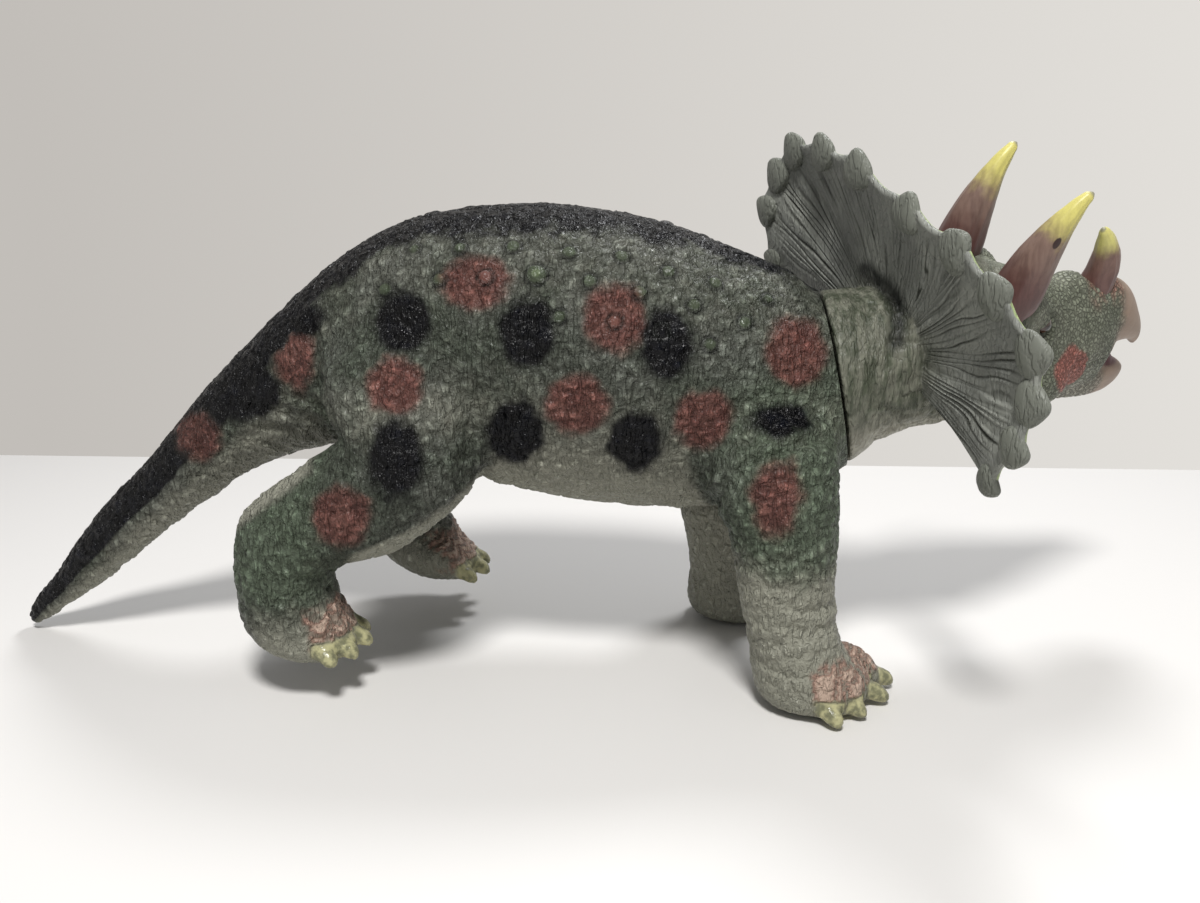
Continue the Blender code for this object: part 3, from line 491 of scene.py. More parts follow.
def relief(p, f):
    """The skin's relief in millimetres: folds, creases, leather cells and bumps."""
    along, up = on_spine(p)
    leg = limb(f)
    tail = near(-215, -260, along) * (1 - leg)
    foot = near(26, 12, f[:, 2] - HIND_FLOOR * (p[:, 0] < MIDDLE)) * (1 - tail)
    out = 0.9 * fbm(p / 34.0, 2, 3) * (1 - 0.7 * foot)
    # long soft folds that run down the flank
    warp = drift(p, 14.0, 5)
    q = (p + 4.0 * warp) / np.array([9.0, 11.0, 34.0])
    flank = (1 - leg) * (1 - tail) * near(0.75, 0.45, up) * near(-0.9, -0.6, up)
    out -= 0.75 * flank * near(0.72, 1.0, 1 - np.abs(value_noise(q, 11)))
    # folds across belly, tail and legs
    q = (p + 3.0 * warp) / np.array([24.0, 16.0, 7.0])
    across = np.maximum(leg * 0.9, tail * near(0.2, -0.3, up)) + (1 - leg) * (1 - tail) * near(-0.55, -0.85, up)
    out -= 0.8 * np.clip(across, 0, 1) * (1 - 0.6 * foot) * near(0.68, 1.0, 1 - np.abs(value_noise(q, 13)))
    # leather cells
    crumple = drift(p, 4.5, 15)
    f1, f2, _ = cells((p + 1.6 * warp + 1.7 * crumple) / 4.9, 21)
    cell = near(0.0, 0.30, f2 - f1)
    out += 0.75 * (cell - 0.7) * (1 - 0.4 * foot)
    # ring scales
    r1, _, rw = cells((p + 0.8 * warp) / 15.0, 33, 0.7)
    ring = np.exp(-((r1 * 15.0 - 4.3) / 1.15) ** 2) * (rw > 0.52)
    dome = near(2.8, 0.6, r1 * 15.0) * (rw > 0.52)
    out += (0.55 * ring + 0.35 * dome) * (1 - foot) * (1 - 0.6 * leg)
    # creases that the photograph shows
    for line, depth, half in CREASES:
        path = [c for c, _ in (placed(*s) for s in spline([(a, b, 0) for a, b in line], 40)[:, :2]) if c is not None]
        if len(path) < 3:
            continue
        path = spline(path, 60)
        take = np.where(np.all((f > path.min(0) - 16) & (f < path.max(0) + 16), axis=1))[0]
        if not len(take):
            continue
        d = np.sqrt(((f[take, None, :] - path[None]) ** 2).sum(2)).min(1)
        out[take] += -depth * np.exp(-(d / half) ** 2) + 0.35 * depth * np.exp(-((d - 2.6 * half) / half) ** 2)
    knob = np.zeros(len(p))
    rings = np.zeros(len(p))
    for x, y, r, high in BUMPS:
        c, size = placed(x, y)
        if c is None:
            continue
        r = r * size
        d = np.linalg.norm(f - c, axis=1)
        out *= near(0.75, 1.2, d / r)
        knob = np.maximum(knob, np.clip(1.0 - (d / r) ** 2, 0.0, 1.0) ** 0.75 * high)
        rings = np.maximum(rings, np.exp(-((d - 1.10 * r) / 0.8) ** 2))
    return out + knob - 0.45 * rings, cell, knob, rings


def spots(f, rows, seed, wobble=3.0, soft=5.0):
    """Round patches of paint at pixels of the photograph: x, y, half width, half height."""
    px, py = pixel(f)
    out = np.zeros(len(f))
    edge = wobble * fbm(f / 7.0, 3, seed)
    for x, y, rx, ry in rows:
        r = np.sqrt(((px - x) / rx) ** 2 + ((py - y) / ry) ** 2)
        out = np.maximum(out, near(soft, -soft, (r - 1.0) * min(rx, ry) * 0.5 + edge))
    return out


RED = [(474, 283, 34, 27), (615, 318, 31, 35), (796, 352, 29, 34), (395, 386, 27, 29), (577, 405, 31, 28),
       (703, 419, 30, 29), (777, 497, 25, 38), (341, 517, 30, 28), (196, 435, 24, 25), (294, 357, 20, 33)]
DARK = [(403, 323, 28, 32), (527, 333, 28, 35), (667, 343, 26, 33), (396, 458, 26, 42), (516, 432, 29, 31),
        (635, 442, 28, 30), (781, 420, 34, 17), (245, 392, 34, 28), (300, 318, 24, 18)]


def feet(p):
    """Toes, their claws and the ribs across them."""
    toe, claw, rib = np.zeros((3, len(p)))
    for foot, table, length in ((FRONT_FOOT, FRONT_TOES, FRONT_TOE), (HIND_FOOT, HIND_TOES, HIND_TOE)):
        for side in (-1, 1):
            for ahead, out, turn in table:
                a = math.radians(turn)
                heading = np.array([math.cos(a), side * math.sin(a)])
                tip = np.array([foot[0] - side * foot[3] + ahead, side * (foot[1] + out)])
                d = p[:, :2] - tip
                t = d @ heading
                w = np.abs(d @ np.array([-heading[1], heading[0]]))
                z = p[:, 2] - foot[2]
                low = near(36, 22, z + 5 * value_noise(p / 8.0, 47)) * (np.abs(p[:, 0] - foot[0]) < 75)
                claw = np.maximum(claw, near(-0.27 * length, -0.15 * length, t + 0.15 * w) * near(7.5, 6.0, w)
                                  * near(13.0, 11.0, z + 0.2 * t) * low)
                here = near(-44, -18, t + 9 * value_noise(p / 9.0, 46)) * near(9.5, 4.5, w) * near(3, 12, z) * low
                wave = near(-0.5, 0.6, np.cos((t + 0.10 * w * w + 1.2 * value_noise(p / 8.0, 45)) * 1.45))
                rib = np.where(here > toe, wave, rib)
                toe = np.maximum(toe, here)
    return toe, claw, rib


def make_body():
    obj = remeshed(build("body_shell", *together(body_parts())), VOXEL)
    mesh = obj.data
    p, e = points(mesh), edges(mesh)
    side = np.abs(p[:, 1])
    root = near(18, 30, side) * near(60, 46, side) * near(88, 104, p[:, 2]) * near(205, 180, p[:, 2])
    toe = near(40, 22, p[:, 2]) * (p[:, 0] > -262)
    p = relax(p, e, 0.45 * (1 - 0.75 * toe), 10)
    p = relax(p, e, 0.55 * root, 60)
    put_points(mesh, p)
    n = normals(mesh)
    f = folded(p)
    height, cell, knob, rings = relief(p, f)
    toe, claw, rib = feet(p)
    height = height * (1 - 0.8 * claw) + 0.9 * (rib - 0.5) * toe * (1 - claw)
    neck = near(0.0, -7.0, (p - NECK) @ NECK_AXIS)
    p = p + n * (height * neck)[:, None]
    p[:, 2] = np.maximum(p[:, 2], 0.0)
    put_points(mesh, p)
    for name, values in (("cell", cell), ("knob", knob), ("ring_groove_shade", rings), ("kept", np.ones(len(p)))):
        paint(mesh, name, values)
    # the hollow inside and the round opening for the collar's plug
    mouth = neck_tube([(-16, 35.2), (-4.0, 35.2), (-1.5, 39.0), (0.0, 40.6), (0.01, 60.0), (30, 60.0)], 64)
    hollow = remeshed(build("hollow", *together(body_parts(4.6, 0.6, False))), 3.6)
    cut(obj, hollow)
    cut(obj, build("mouth", *mouth))
    return obj


def mend(mesh, names):
    """Fills in what a cut left empty from the neighbours."""
    n = len(mesh.vertices)
    e = edges(mesh)
    for name in names:
        v, k = read(mesh, name), read(mesh, "kept")
        for _ in range(3):
            top, bottom = spread(v * k, e, n), spread(k, e, n)
            empty = (k < 0.5) & (bottom > 0)
            v = np.where(empty, top / np.maximum(bottom, 1e-9), v)
            k = np.where(empty, 1.0, k)
        paint(mesh, name, v)


def paint_body(obj):
    mesh = obj.data
    mend(mesh, ("cell", "knob", "ring_groove_shade"))
    p = points(mesh)
    f = folded(p)
    along, up = on_spine(p)
    outer = near(0.3, -0.1, normals(mesh)[:, 1] * -np.sign(p[:, 1] + 1e-9))
    wander = fbm(p / 11.0, 3, 41)
    leg = limb(f)
    # the dark stripe along the back, and over the upper half of the tail
    start = np.interp(-along, [0, 60, 140, 200, 240, 270, 300, 360, 430],
                      [0.93, 0.885, 0.865, 0.865, 0.72, 0.42, 0.10, -0.05, -0.12])
    stripe = near(-0.07, 0.07, up - start + 0.09 * wander + 0.03 * fbm(p / 3.0, 2, 43)) * (1 - leg)
    dark = np.maximum(stripe, spots(f, DARK, 51) * outer)
    tail = near(-235, -285, along)
    red = spots(f, RED, 61) * outer * (1 - stripe * (1 - tail))
    dark *= 1 - 0.70 * red * tail
    belly = near(0.30, -0.95, up + 0.16 * wander) * (1 - leg)
    # painted sheen: the upper flank made paler where overhead light glosses it, added into the pale paint
    sheen = 0.24 * near(0.15, 0.60, up) * (1 - leg)
    hind = p[:, 0] < MIDDLE
    floor = HIND_FLOOR * hind
    shin = near(0.0, -1.0, (p[:, 2] - floor + 7 * wander - np.where(hind, 44, 92)) / 34)
    shin *= 1 - near(-262, -285, p[:, 0])
    pale = np.clip(belly + shin + sheen, 0, 1)
    pale = np.maximum(pale, tail * (1 - leg) * near(start, start - 0.6, up) * 0.75)
    toe, claw, rib = feet(p)
    green = near(-70, -30, p[:, 0]) * near(175, 140, p[:, 2]) * near(40, 70, p[:, 2])
    green = green + near(-225, -245, p[:, 0]) * near(42, 60, p[:, 2]) * leg
    for name, values in (("dark", dark), ("red", red), ("pale", pale), ("claw", claw), ("green", green),
                         ("toe", toe * (0.45 + 0.55 * rib) * (1 - claw))):
        paint(mesh, name, np.clip(values, 0, 1))
    mesh.attributes.remove(mesh.attributes["kept"])
    return obj


# ---------------------------------------------------------------- the head's form

TURN, ROLL = math.radians(28.3), math.radians(23.4)
FORE = np.array([math.cos(TURN), math.sin(TURN), 0.0])
HEAD_LEFT = np.array([-math.sin(TURN) * math.cos(ROLL), math.cos(TURN) * math.cos(ROLL), math.sin(ROLL)])
HEAD_UP = np.array([math.sin(TURN) * math.sin(ROLL), -math.cos(TURN) * math.sin(ROLL), math.cos(ROLL)])
HEAD_AXES = np.stack([FORE, HEAD_LEFT, HEAD_UP])
HEAD = NECK + NECK_AXIS * 32.2 + NECK_UP * 6.5

# Skull and beaks across the head's own forward axis: forward, half width, top, bottom.
SKULL = [(9.9, 39.0, 40.0, -33.0), (22.0, 39.0, 43.0, -32.5), (35.0, 37.5, 45.5, -32.0), (60.0, 33.0, 41.5, -31.0),
         (85.0, 27.5, 35.5, -30.0), (105.0, 23.0, 35.0, -29.5), (120.0, 17.5, 33.5, -31.5), (131.0, 12.5, 29.5, -32.0),
         (136.5, 8.0, 25.0, -27.0)]
UPPER_BEAK = [(108.0, 13.5, 34.0, -1.0), (124.8, 12.5, 34.5, -1.5), (137.9, 10.8, 27.0, -3.5), (147.0, 8.6, 17.5, -2.6),
              (154.0, 6.0, 9.8, -4.4), (158.6, 3.6, 2.6, -7.6), (160.4, 1.4, -3.4, -9.0)]
LOWER_BEAK = [(108.0, 12.5, -13.5, -36.0), (124.8, 11.7, -13.5, -37.0), (140.0, 9.8, -14.0, -37.2),
              (150.0, 7.6, -15.5, -35.0), (156.0, 5.2, -18.0, -30.5), (159.4, 2.4, -20.5, -26.0)]
TONGUE = [(112.0, 6.5, -9.5, -15.5), (134.4, 6.2, -9.1, -15.4), (144.0, 5.2, -11.4, -16.4), (148.6, 2.2, -13.6, -16.4)]

# Tips of the frill's thirteen bosses, from the lowest on the right over the top to the left.
HALF_TIPS = [(-21.4, 0.0, 84.0), (-24.0, 42.0, 85.5), (-24.0, 73.0, 79.5), (-21.0, 101.0, 67.0), (-20.5, 110.5, 48.6),
             (-20.5, 112.0, 26.0), (-14.0, 102.0, -1.4)]
TIPS = [(x, -y, z) for x, y, z in HALF_TIPS[:0:-1]] + HALF_TIPS


def from_head(v):
    return HEAD + np.asarray(v, float) @ HEAD_AXES


def in_head(p):
    return (p - HEAD) @ HEAD_AXES.T


def head_tube(rows, count, sides, inset=0.0, taper=0.0):
    out = []
    for x, wide, high, low in rows_by_first(rows, count):
        half = max((high - low) / 2 - inset, 0.6)
        out.append(np.concatenate([from_head((x, 0, (high + low) / 2)), HEAD_UP * half,
                                   HEAD_LEFT * max(wide - inset, 0.6)]))
    return tapered(out, sides, taper)


def rows_by_first(rows, count):
    rows = np.asarray(rows, float)
    got = spline(np.column_stack([rows[:, 0], rows[:, 0] * 0, rows[:, 0] * 0, rows[:, 1:]]), count)
    return np.column_stack([got[:, 0], got[:, 3:]])


def tapered(sections, sides, taper):
    """A tube that is narrower above than below."""
    v, f = tube(sections, sides, 2.2)
    s = np.asarray(sections, float)
    angle = np.linspace(0, 2 * math.pi, sides, endpoint=False)
    share = 1.0 - taper * np.maximum(np.cos(angle), 0.0)
    body = v[:len(s) * sides].reshape(len(s), sides, 3)
    side = s[:, None, 6:9]
    length = np.linalg.norm(side, axis=2, keepdims=True)
    along = ((body - s[:, None, 0:3]) * side).sum(2, keepdims=True) / length ** 2
    body += side * along * (share[None, :, None] - 1.0)
    return v, f


def collar(inset=0.0, back=1.2):
    """From the seam to the back of the skull, turning from the neck's frame to the head's."""
    x, wide, high, low = SKULL[1]
    far = from_head((x, 0, (high + low) / 2))
    out = []
    for t in np.linspace(0, 1, 18):
        centre = (NECK + NECK_AXIS * back) * (1 - t) + far * t
        up = unit(NECK_UP * (1 - t) + HEAD_UP * t)
        left = unit(LEFT * (1 - t) + HEAD_LEFT * t)
        girth = 1 - 0.10 * math.sin(math.pi * t) ** 1.2
        out.append(np.concatenate([centre, up * ((42.6 * (1 - t) + (high - low) / 2 * t) * girth - inset),
                                   left * ((42.6 * (1 - t) + wide * t) * girth - inset)]))
    return tube(out, 64)


def frill_line(count):
    """The frill's tips, drawn smoothly from one side to the other."""
    t = np.linspace(0, len(TIPS) - 1, count)
    p = np.array(TIPS)
    p = np.vstack([2 * p[0] - p[1], p, 2 * p[-1] - p[-2]])
    i = np.minimum(t.astype(int), len(TIPS) - 2)
    u = (t - i)[:, None]
    a, b, c, d = p[i], p[i + 1], p[i + 2], p[i + 3]
    return t, 0.5 * (2 * b + (c - a) * u + (2 * a - 5 * b + 4 * c - d) * u ** 2 + (3 * b - a - 3 * c + d) * u ** 3)


RIDGES = 20.0


def frill(columns, rows_back, rows_front, thin=0.0, top=1.0, ridged=True):
    """The dished fan: its back with fine ridges out to the rim, and its front."""
    t, tip = frill_line(columns)
    out = unit(np.column_stack([tip[:, 0] * 0, tip[:, 1], tip[:, 2]]))
    scallop = 1.6 * np.cos(2 * math.pi * t)
    base = tip - out * (7.6 - scallop[:, None])
    shares_back = np.linspace(0.24, 1.0, rows_back) * top
    shares_front = np.linspace(1.0, 0.24, rows_front) * top
    angle = np.arctan2(base[:, 1], base[:, 2])

    def face(share, half):
        thick = (9.0 * (1 - share) + 3.4 * share) * half - thin * np.sign(half)
        dish = 4.5 * math.sin(math.pi * min(share, 1.0)) - 1.8
        q = base * share
        q[:, 0] = q[:, 0] + dish + thick
        groove = np.zeros(columns)
        if ridged:
            w = np.column_stack([angle * 9.0, np.full(columns, share * 2.2), np.full(columns, 5.0 * (half > 0))])
            bend = value_noise(w, 3) * 0.9 + value_noise(w * 2.3, 4) * 0.45
            phase = angle * RIDGES + bend + 0.8 * (share - 0.6) * np.sin(angle * 5)
            w = np.column_stack([angle * 13.0, np.full(columns, share * 3.5), np.zeros(columns)])
            strong = 0.55 + 0.45 * value_noise(w, 9)
            wave = np.sin(phase * 2 * math.pi) * 0.6 + 0.4 * np.sin(phase * 2 * math.pi * 1.93 + 1.3 * bend)
            groove = wave * strong * (near(0.99, 0.80, share) * near(0.20, 0.34, share))
            q[:, 0] += np.sign(half) * (groove * (0.55 if half < 0 else 0.4))
        return q, groove

    rows = [(*face(s, -0.5), s, 1.0) for s in shares_back]
    q0, q1 = face(top, -0.5)[0], face(top, 0.5)[0]
    rows += [((q0 + q1) / 2 + (q0 - q1) / 2 * math.cos(math.pi * a) + out * math.sin(math.pi * a) * 1.8,
              np.zeros(columns), 1.02, 1.0 - a) for a in (0.25, 0.5, 0.75)]
    rows += [(*face(s, 0.5), s, 0.0) for s in shares_front]
    grid, grooves, shares, backs = zip(*rows)
    n_rows = len(grid)
    v = np.array(grid).reshape(-1, 3)
    faces = []
    for r in range(n_rows):
        k = (r + 1) % n_rows
        for c in range(columns - 1):
            faces.append((r * columns + c, r * columns + c + 1, k * columns + c + 1, k * columns + c))
    for c in (0, columns - 1):
        mid = v[c::columns].mean(0)
        v = np.vstack([v, mid])
        m = len(v) - 1
        for r in range(n_rows):
            faces.append((r * columns + c, ((r + 1) % n_rows) * columns + c, m))
    tags = {"groove": np.append(np.array(grooves).ravel(), (0, 0)),
            "share": np.append(np.repeat(shares, columns), (0.6, 0.6)),
            "back": np.append(np.repeat(backs, columns), (0.5, 0.5))}
    return (from_head(v), faces), tags


def boss(index):
    """A blunt tooth over the rim."""
    _, line = frill_line(len(TIPS) * 8 - 7)
    tip = np.array(TIPS[index])
    out = unit(tip * (0.35, 1, 1))
    i = index * 8
    across = unit(line[min(i + 1, len(line) - 1)] - line[max(i - 1, 0)])
    across = unit(across - out * (across @ out))
    thick = unit(np.cross(out, across))
    size = (1.0, 1.02, 1.0, 1.0, 0.98, 0.9, 0.78)[abs(index - 6)]
    rows = [(-8.0, 1.5, 1.0), (-7.2, 5.4, 2.0), (-4.8, 8.8, 2.9), (-1.0, 10.2, 3.4), (2.5, 9.2, 3.3),
            (6.0, 6.6, 2.8), (8.6, 4.0, 2.2), (10.0, 2.0, 1.4), (10.5, 0.5, 0.5)]
    rows = spline([(a, 0, 0, b, c) for a, b, c in rows], 20)
    middle = tip - out * 10.4 * size - (2.5, 0, 0)
    sections = [np.concatenate([from_head(middle + out * a * size), (across * w * size) @ HEAD_AXES,
                                (thick * d * size) @ HEAD_AXES]) for a, _, _, w, d in rows]
    return tube(sections, 24)


# Horns in the head's frame: forward, outward, up, radius.
BROW_HORN = [(33.0, 22.0, 27.0, 12.2), (33.2, 22.0, 37.0, 11.6), (34.9, 22.6, 44.0, 11.5), (36.5, 23.3, 58.1, 9.9),
             (39.1, 24.2, 70.9, 7.6), (42.6, 25.2, 82.4, 5.0), (47.1, 25.8, 91.4, 2.9), (49.0, 26.2, 94.0, 1.9),
             (49.9, 26.3, 94.9, 0.6)]
NOSE_HORN = [(111.5, 0.0, 24.0, 8.4), (111.5, 0.0, 32.0, 8.2), (111.5, 0.0, 37.5, 7.9), (109.6, 0.0, 46.2, 6.9),
             (105.6, 0.0, 54.2, 5.0), (101.6, 0.0, 59.6, 3.1), (99.4, 0.0, 61.8, 1.9), (98.2, 0.0, 62.6, 0.6)]


def horn(rows, side, count, sides, seed):
    rows = spline([(a, side * b, c, r) for a, b, c, r in rows], count)
    heading = unit(np.gradient(rows[:, :3], axis=0))
    across = unit(np.cross((0, 1, 0), heading))
    aside = np.cross(heading, across)
    angle = np.linspace(0, 2 * math.pi, sides, endpoint=False)
    t = np.linspace(0, 1, count)
    v = []
    for i in range(count):
        r = rows[i, 3]
        q = np.column_stack([np.cos(angle) * 1.6, np.sin(angle) * 1.6, np.full(sides, t[i] * 1.1 + seed)])
        flute = 0.35 * value_noise(q * 2.6, seed) * near(0, 0.2, t[i]) * near(1.0, 0.8, t[i])
        ribs = 0.12 * value_noise(q * (1, 1, 16), seed + 1)
        seam = 0.35 * np.exp(-((angle - math.pi * 1.5) / 0.055) ** 2) * near(1.0, 0.92, t[i])
        rad = r + (flute + ribs) * min(r / 5.0, 1.0) + seam
        v.append(rows[i, :3] + across[i] * (np.cos(angle) * rad * 1.04)[:, None]
                 + aside[i] * (np.sin(angle) * rad * 0.97)[:, None])
    v = np.vstack(v + [rows[:1, :3], rows[-1:, :3]])
    tags = {"up": np.append(np.repeat(t, sides), (0, 1)), "turn": np.append(np.tile(angle, count), (0, 0))}
    return (from_head(v), tube_faces(count, sides)), tags


EYE = (61.5, 30.5, 24.5)


def head_shape(inset=0.0, detail=1.0, beaks=True):
    parts = [head_tube(SKULL, int(50 * detail), int(60 * detail), inset, 0.30), collar(inset)]
    if beaks:
        parts += [head_tube(UPPER_BEAK, 30, 36, 0, 0.25), head_tube(LOWER_BEAK, 30, 36, 0, -0.25)]
        for s in (-1, 1):
            parts.append(ellipsoid(from_head((36, s * 20, 33)), FORE * 24, HEAD_LEFT * 14, HEAD_UP * 13))
            parts.append(ellipsoid(from_head((66, s * 23, -8)), FORE * 26, HEAD_LEFT * 12, HEAD_UP * 17))
            parts.append(ellipsoid(from_head((40, s * 30, -14)), FORE * 18, HEAD_LEFT * 12, HEAD_UP * 14))
        parts.append(ellipsoid(from_head((94, 0, 31)), FORE * 9, HEAD_LEFT * 10, HEAD_UP * 8))
        parts.append(head_tube(TONGUE, 16, 24))
    return parts


def pit(p):
    """The soft hollow between the neck and the back of the frill."""
    line = spline([(866, 270, 0), (884, 284, 0), (898, 306, 0), (896, 342, 0)], 24)[:, :2]
    px, py = pixel(p)
    d = np.sqrt(((px[:, None] - line[:, 0]) ** 2 + (py[:, None] - line[:, 1]) ** 2).min(1))
    return near(15.0, 2.0, d) * near(30, 10, p @ LEFT)


def head_relief(p):
    q = in_head(p)
    x, y, z = q.T
    side = np.abs(y)
    out = np.zeros(len(p))
    axis = (p - NECK) @ NECK_AXIS
    collar_band = near(16, 10, axis)
    face = near(40, 55, x)
    beak = near(120, 132, x + 0.25 * z)
    warp = drift(p, 10.0, 65)
    f1, f2, _ = cells((p + 1.5 * warp) / 5.4, 71)
    cell = near(0.02, 0.34, f2 - f1)
    out += 0.45 * (cell - 0.7) * near(10, 40, x) * (1 - collar_band) * (1 - face)
    f1, f2, _ = cells(q / 3.1 + 0.25 * warp, 77)
    small = near(0.0, 0.5, f2 - f1)
    out += 0.42 * (small - 0.6) * face * (1 - beak)
    hollow = pit(p)
    out -= 1.8 * hollow
    # folds of the throat, and the collar's streaks
    w = (p + 4.0 * warp) / np.array([7.0, 12.0, 12.0])
    fold = near(0.7, 1.0, 1 - np.abs(value_noise(w, 81))) + 0.7 * near(0.7, 1.0, 1 - np.abs(value_noise(w * 1.9, 82)))
    out += (1.3 * fbm(p / 15.0, 3, 84) - 1.1 * fold) * near(26, 14, x) * (1 - collar_band)
    turn = np.arctan2((p - NECK) @ LEFT, (p - NECK) @ NECK_UP)
    out += 0.25 * value_noise(np.column_stack([turn * 22, axis / 30.0, axis * 0]), 83) * collar_band * near(0, 3, axis)
    # eye sockets, lids, nostrils and the line of the lips
    d = np.sqrt((x - EYE[0]) ** 2 + (z - EYE[2]) ** 2 + 0.3 * (side - EYE[1]) ** 2)
    facing = near(14, 20, side)
    out += (-3.4 * np.exp(-(d / 4.6) ** 2) + 1.3 * np.exp(-((d - 7.6) / 1.9) ** 2)) * facing
    lid = np.exp(-(((z - EYE[2] - 7.5 + 0.05 * (x - EYE[0]) ** 2) / 1.8) ** 2)) * near(12, 6, np.abs(x - EYE[0]))
    out += 1.2 * lid * facing
    d = np.sqrt(((x - 128) / 1.4) ** 2 + (z - 20) ** 2 + 0.4 * (side - 9) ** 2)
    out -= 1.6 * np.exp(-(d / 2.1) ** 2) * near(4, 7, side)
    lips = np.abs(z + 4.0 + 0.14 * (x - 124) - 5.0 * near(110, 80, x))
    out -= 1.1 * np.exp(-(lips / 1.3) ** 2) * near(84, 96, x) * near(128, 122, x)
    return out, cell * (1 - face) + small * face


MARKS = ("cell", "groove", "share", "back", "boss")


def tagged(obj, **values):
    """Marks the points of a part of the head, with zero for what isn't given."""
    for name in MARKS + ("kept",):
        paint(obj.data, name, np.zeros(len(obj.data.vertices)) + values.get(name, float(name == "kept")))
    return obj


def make_head():
    parts = head_shape()
    fan, _ = frill(160, 14, 8, 1.3, 0.52, False)
    obj = remeshed(build("head_shell", *together(parts + [fan])), VOXEL)
    mesh = obj.data
    p, e = points(mesh), edges(mesh)
    q = in_head(p)
    beak = near(116, 128, q[:, 0])
    root = near(30, 18, q[:, 0]) * near(-30, -20, q[:, 0])
    p = relax(p, e, 0.4 * (1 - 0.6 * beak), 8)
    p = relax(p, e, 0.5 * root * near(2.0, 8.0, (p - NECK) @ NECK_AXIS), 26)
    put_points(mesh, p)
    n = normals(mesh)
    height, cell = head_relief(p)
    seam = near(1.5, 6.0, (p - NECK) @ NECK_AXIS)
    p = p + n * (height * seam)[:, None]
    put_points(mesh, p)
    tagged(obj, cell=cell)
    fan, tags = frill(660, 46, 14)
    other = build("fan", *fan)
    tagged(other, cell=1, **tags)
    for index in range(len(TIPS)):
        tooth = tagged(build("tooth", *boss(index)), cell=1, share=1, back=0.5, boss=1)
        cut(other, tooth, "UNION")
    cut(obj, other, "UNION")
    # the snap plug behind the collar
    plug = neck_tube([(-25, 33.0), (-23.5, 36.0), (-21.5, 36.0), (-19, 34.2), (4, 34.2)], 64)
    cut(obj, tagged(build("plug", *plug)), "UNION")
    hollow = remeshed(build("hollow", *together(head_shape(4.4, 0.6, False))), 3.4)
    bore = neck_tube([(-30, 30), (20, 30)], 48)
    cut(hollow, build("bore", *bore), "UNION")
    cut(obj, hollow)
    return obj


def paint_head(obj):
    mesh = obj.data
    mend(mesh, MARKS)
    share, back, boss_mark = (read(mesh, name) for name in ("share", "back", "boss"))
    p = points(mesh)
    q = in_head(p)
    x, y, z = q.T
    wander = fbm(p / 9.0, 3, 91)
    fan = near(0.2, 0.45, share)
    rim = near(0.955, 1.0, share + 0.02 * wander) * near(0.62, 0.35, back + 0.2 * wander)
    rim = rim * (1 - boss_mark) + 0.35 * near(0.4, -0.3, normals(mesh) @ -FORE) * boss_mark
    face = 1 - fan
    cheek = np.exp(-(((x - 90 + 0.5 * (z + 2)) / 18.0) ** 2 + ((z + 2) / 17.5) ** 2)) * near(10, 18, np.abs(y))
    red = near(0.25, 0.85, cheek + 0.14 * wander) * face
    # painted shade: the dark line of the eye's socket between the lids
    eye_slit_shade = np.exp(-((x - EYE[0]) / 1.5) ** 2 - ((z - EYE[2] + 1.0) / 4.2) ** 2) * near(14, 20, np.abs(y))
    beak = near(125, 136, x + 0.18 * z + 3 * wander) * face
    jaw = near(-14, -26, z + 4 * wander) * near(10, 40, x) * face
    throat = near(-8, -30, z + 5 * wander) * near(34, 14, x) * face
    nose = near(96, 106, x + 2 * wander) * near(22, 34, z) * face
    mouth = near(128, 133, x) * near(-8, -11, z) * near(-17.5, -15.5, z) * face * near(8.0, 6.8, np.abs(y))
    for name, values in (("fan", fan), ("rim", rim), ("red", red), ("beak", beak), ("warm", nose), ("mouth", mouth),
                         ("pale", np.maximum(jaw, throat)), ("facial", near(36, 50, x) * face),
                         ("shade", np.maximum(pit(p), near(0.25, 0.7, eye_slit_shade)))):
        paint(mesh, name, np.clip(values, 0, 1))
    mesh.attributes.remove(mesh.attributes["kept"])
    return obj


# ---------------------------------------------------------------- materials

def linear(r, g, b):
    """A colour given as it looks on a screen, 0 to 255."""
    return tuple((c / 255 / 12.92 if c <= 10 else ((c / 255 + 0.055) / 1.055) ** 2.4) for c in (r, g, b)) + (1.0,)


class Nodes:
    """Adds nodes to a tree. Numbers, colours of the screen and sockets may all stand for a value."""

    def __init__(self, tree):
        self.tree = tree
        tree.nodes.clear()

    def node(self, kind, inputs=None, **settings):
        n = self.tree.nodes.new(kind)
        for key, value in settings.items():
            setattr(n, key, value)
        for key, value in (inputs or {}).items():
            self.put(n.inputs[key], value)
        return n

    def put(self, socket, value):
        if isinstance(value, bpy.types.NodeSocket):
            self.tree.links.new(value, socket)
        else:
            socket.default_value = value

    def math(self, how, a, b=0.0, c=0.0):
        return self.node("ShaderNodeMath", {0: a, 1: b, 2: c}, operation=how).outputs[0]

    def plus(self, a, b):
        return self.math("ADD", a, b)

    def minus(self, a, b):
        return self.math("SUBTRACT", a, b)

    def larger(self, a, b):
        return self.math("MAXIMUM", a, b)

    def times(self, *values):
        out = values[0]
        for value in values[1:]:
            out = self.math("MULTIPLY", out, value)
        return out

    def swing(self, noise, size):
        """A noise about zero."""
        return self.times(self.minus(noise, 0.5), size)

    def mix(self, share, a, b, how="MIX"):
        a, b = (linear(*value) if isinstance(value, tuple) else value for value in (a, b))
        return self.node("ShaderNodeMix", {0: share, 6: a, 7: b}, data_type="RGBA", blend_type=how,
                         clamp_factor=True).outputs[2]

    def step(self, value, low, high, to_low=0.0, to_high=1.0, how="SMOOTHSTEP"):
        return self.node("ShaderNodeMapRange", {"Value": value, "From Min": low, "From Max": high, "To Min": to_low,
                                                "To Max": to_high}, interpolation_type=how).outputs[0]


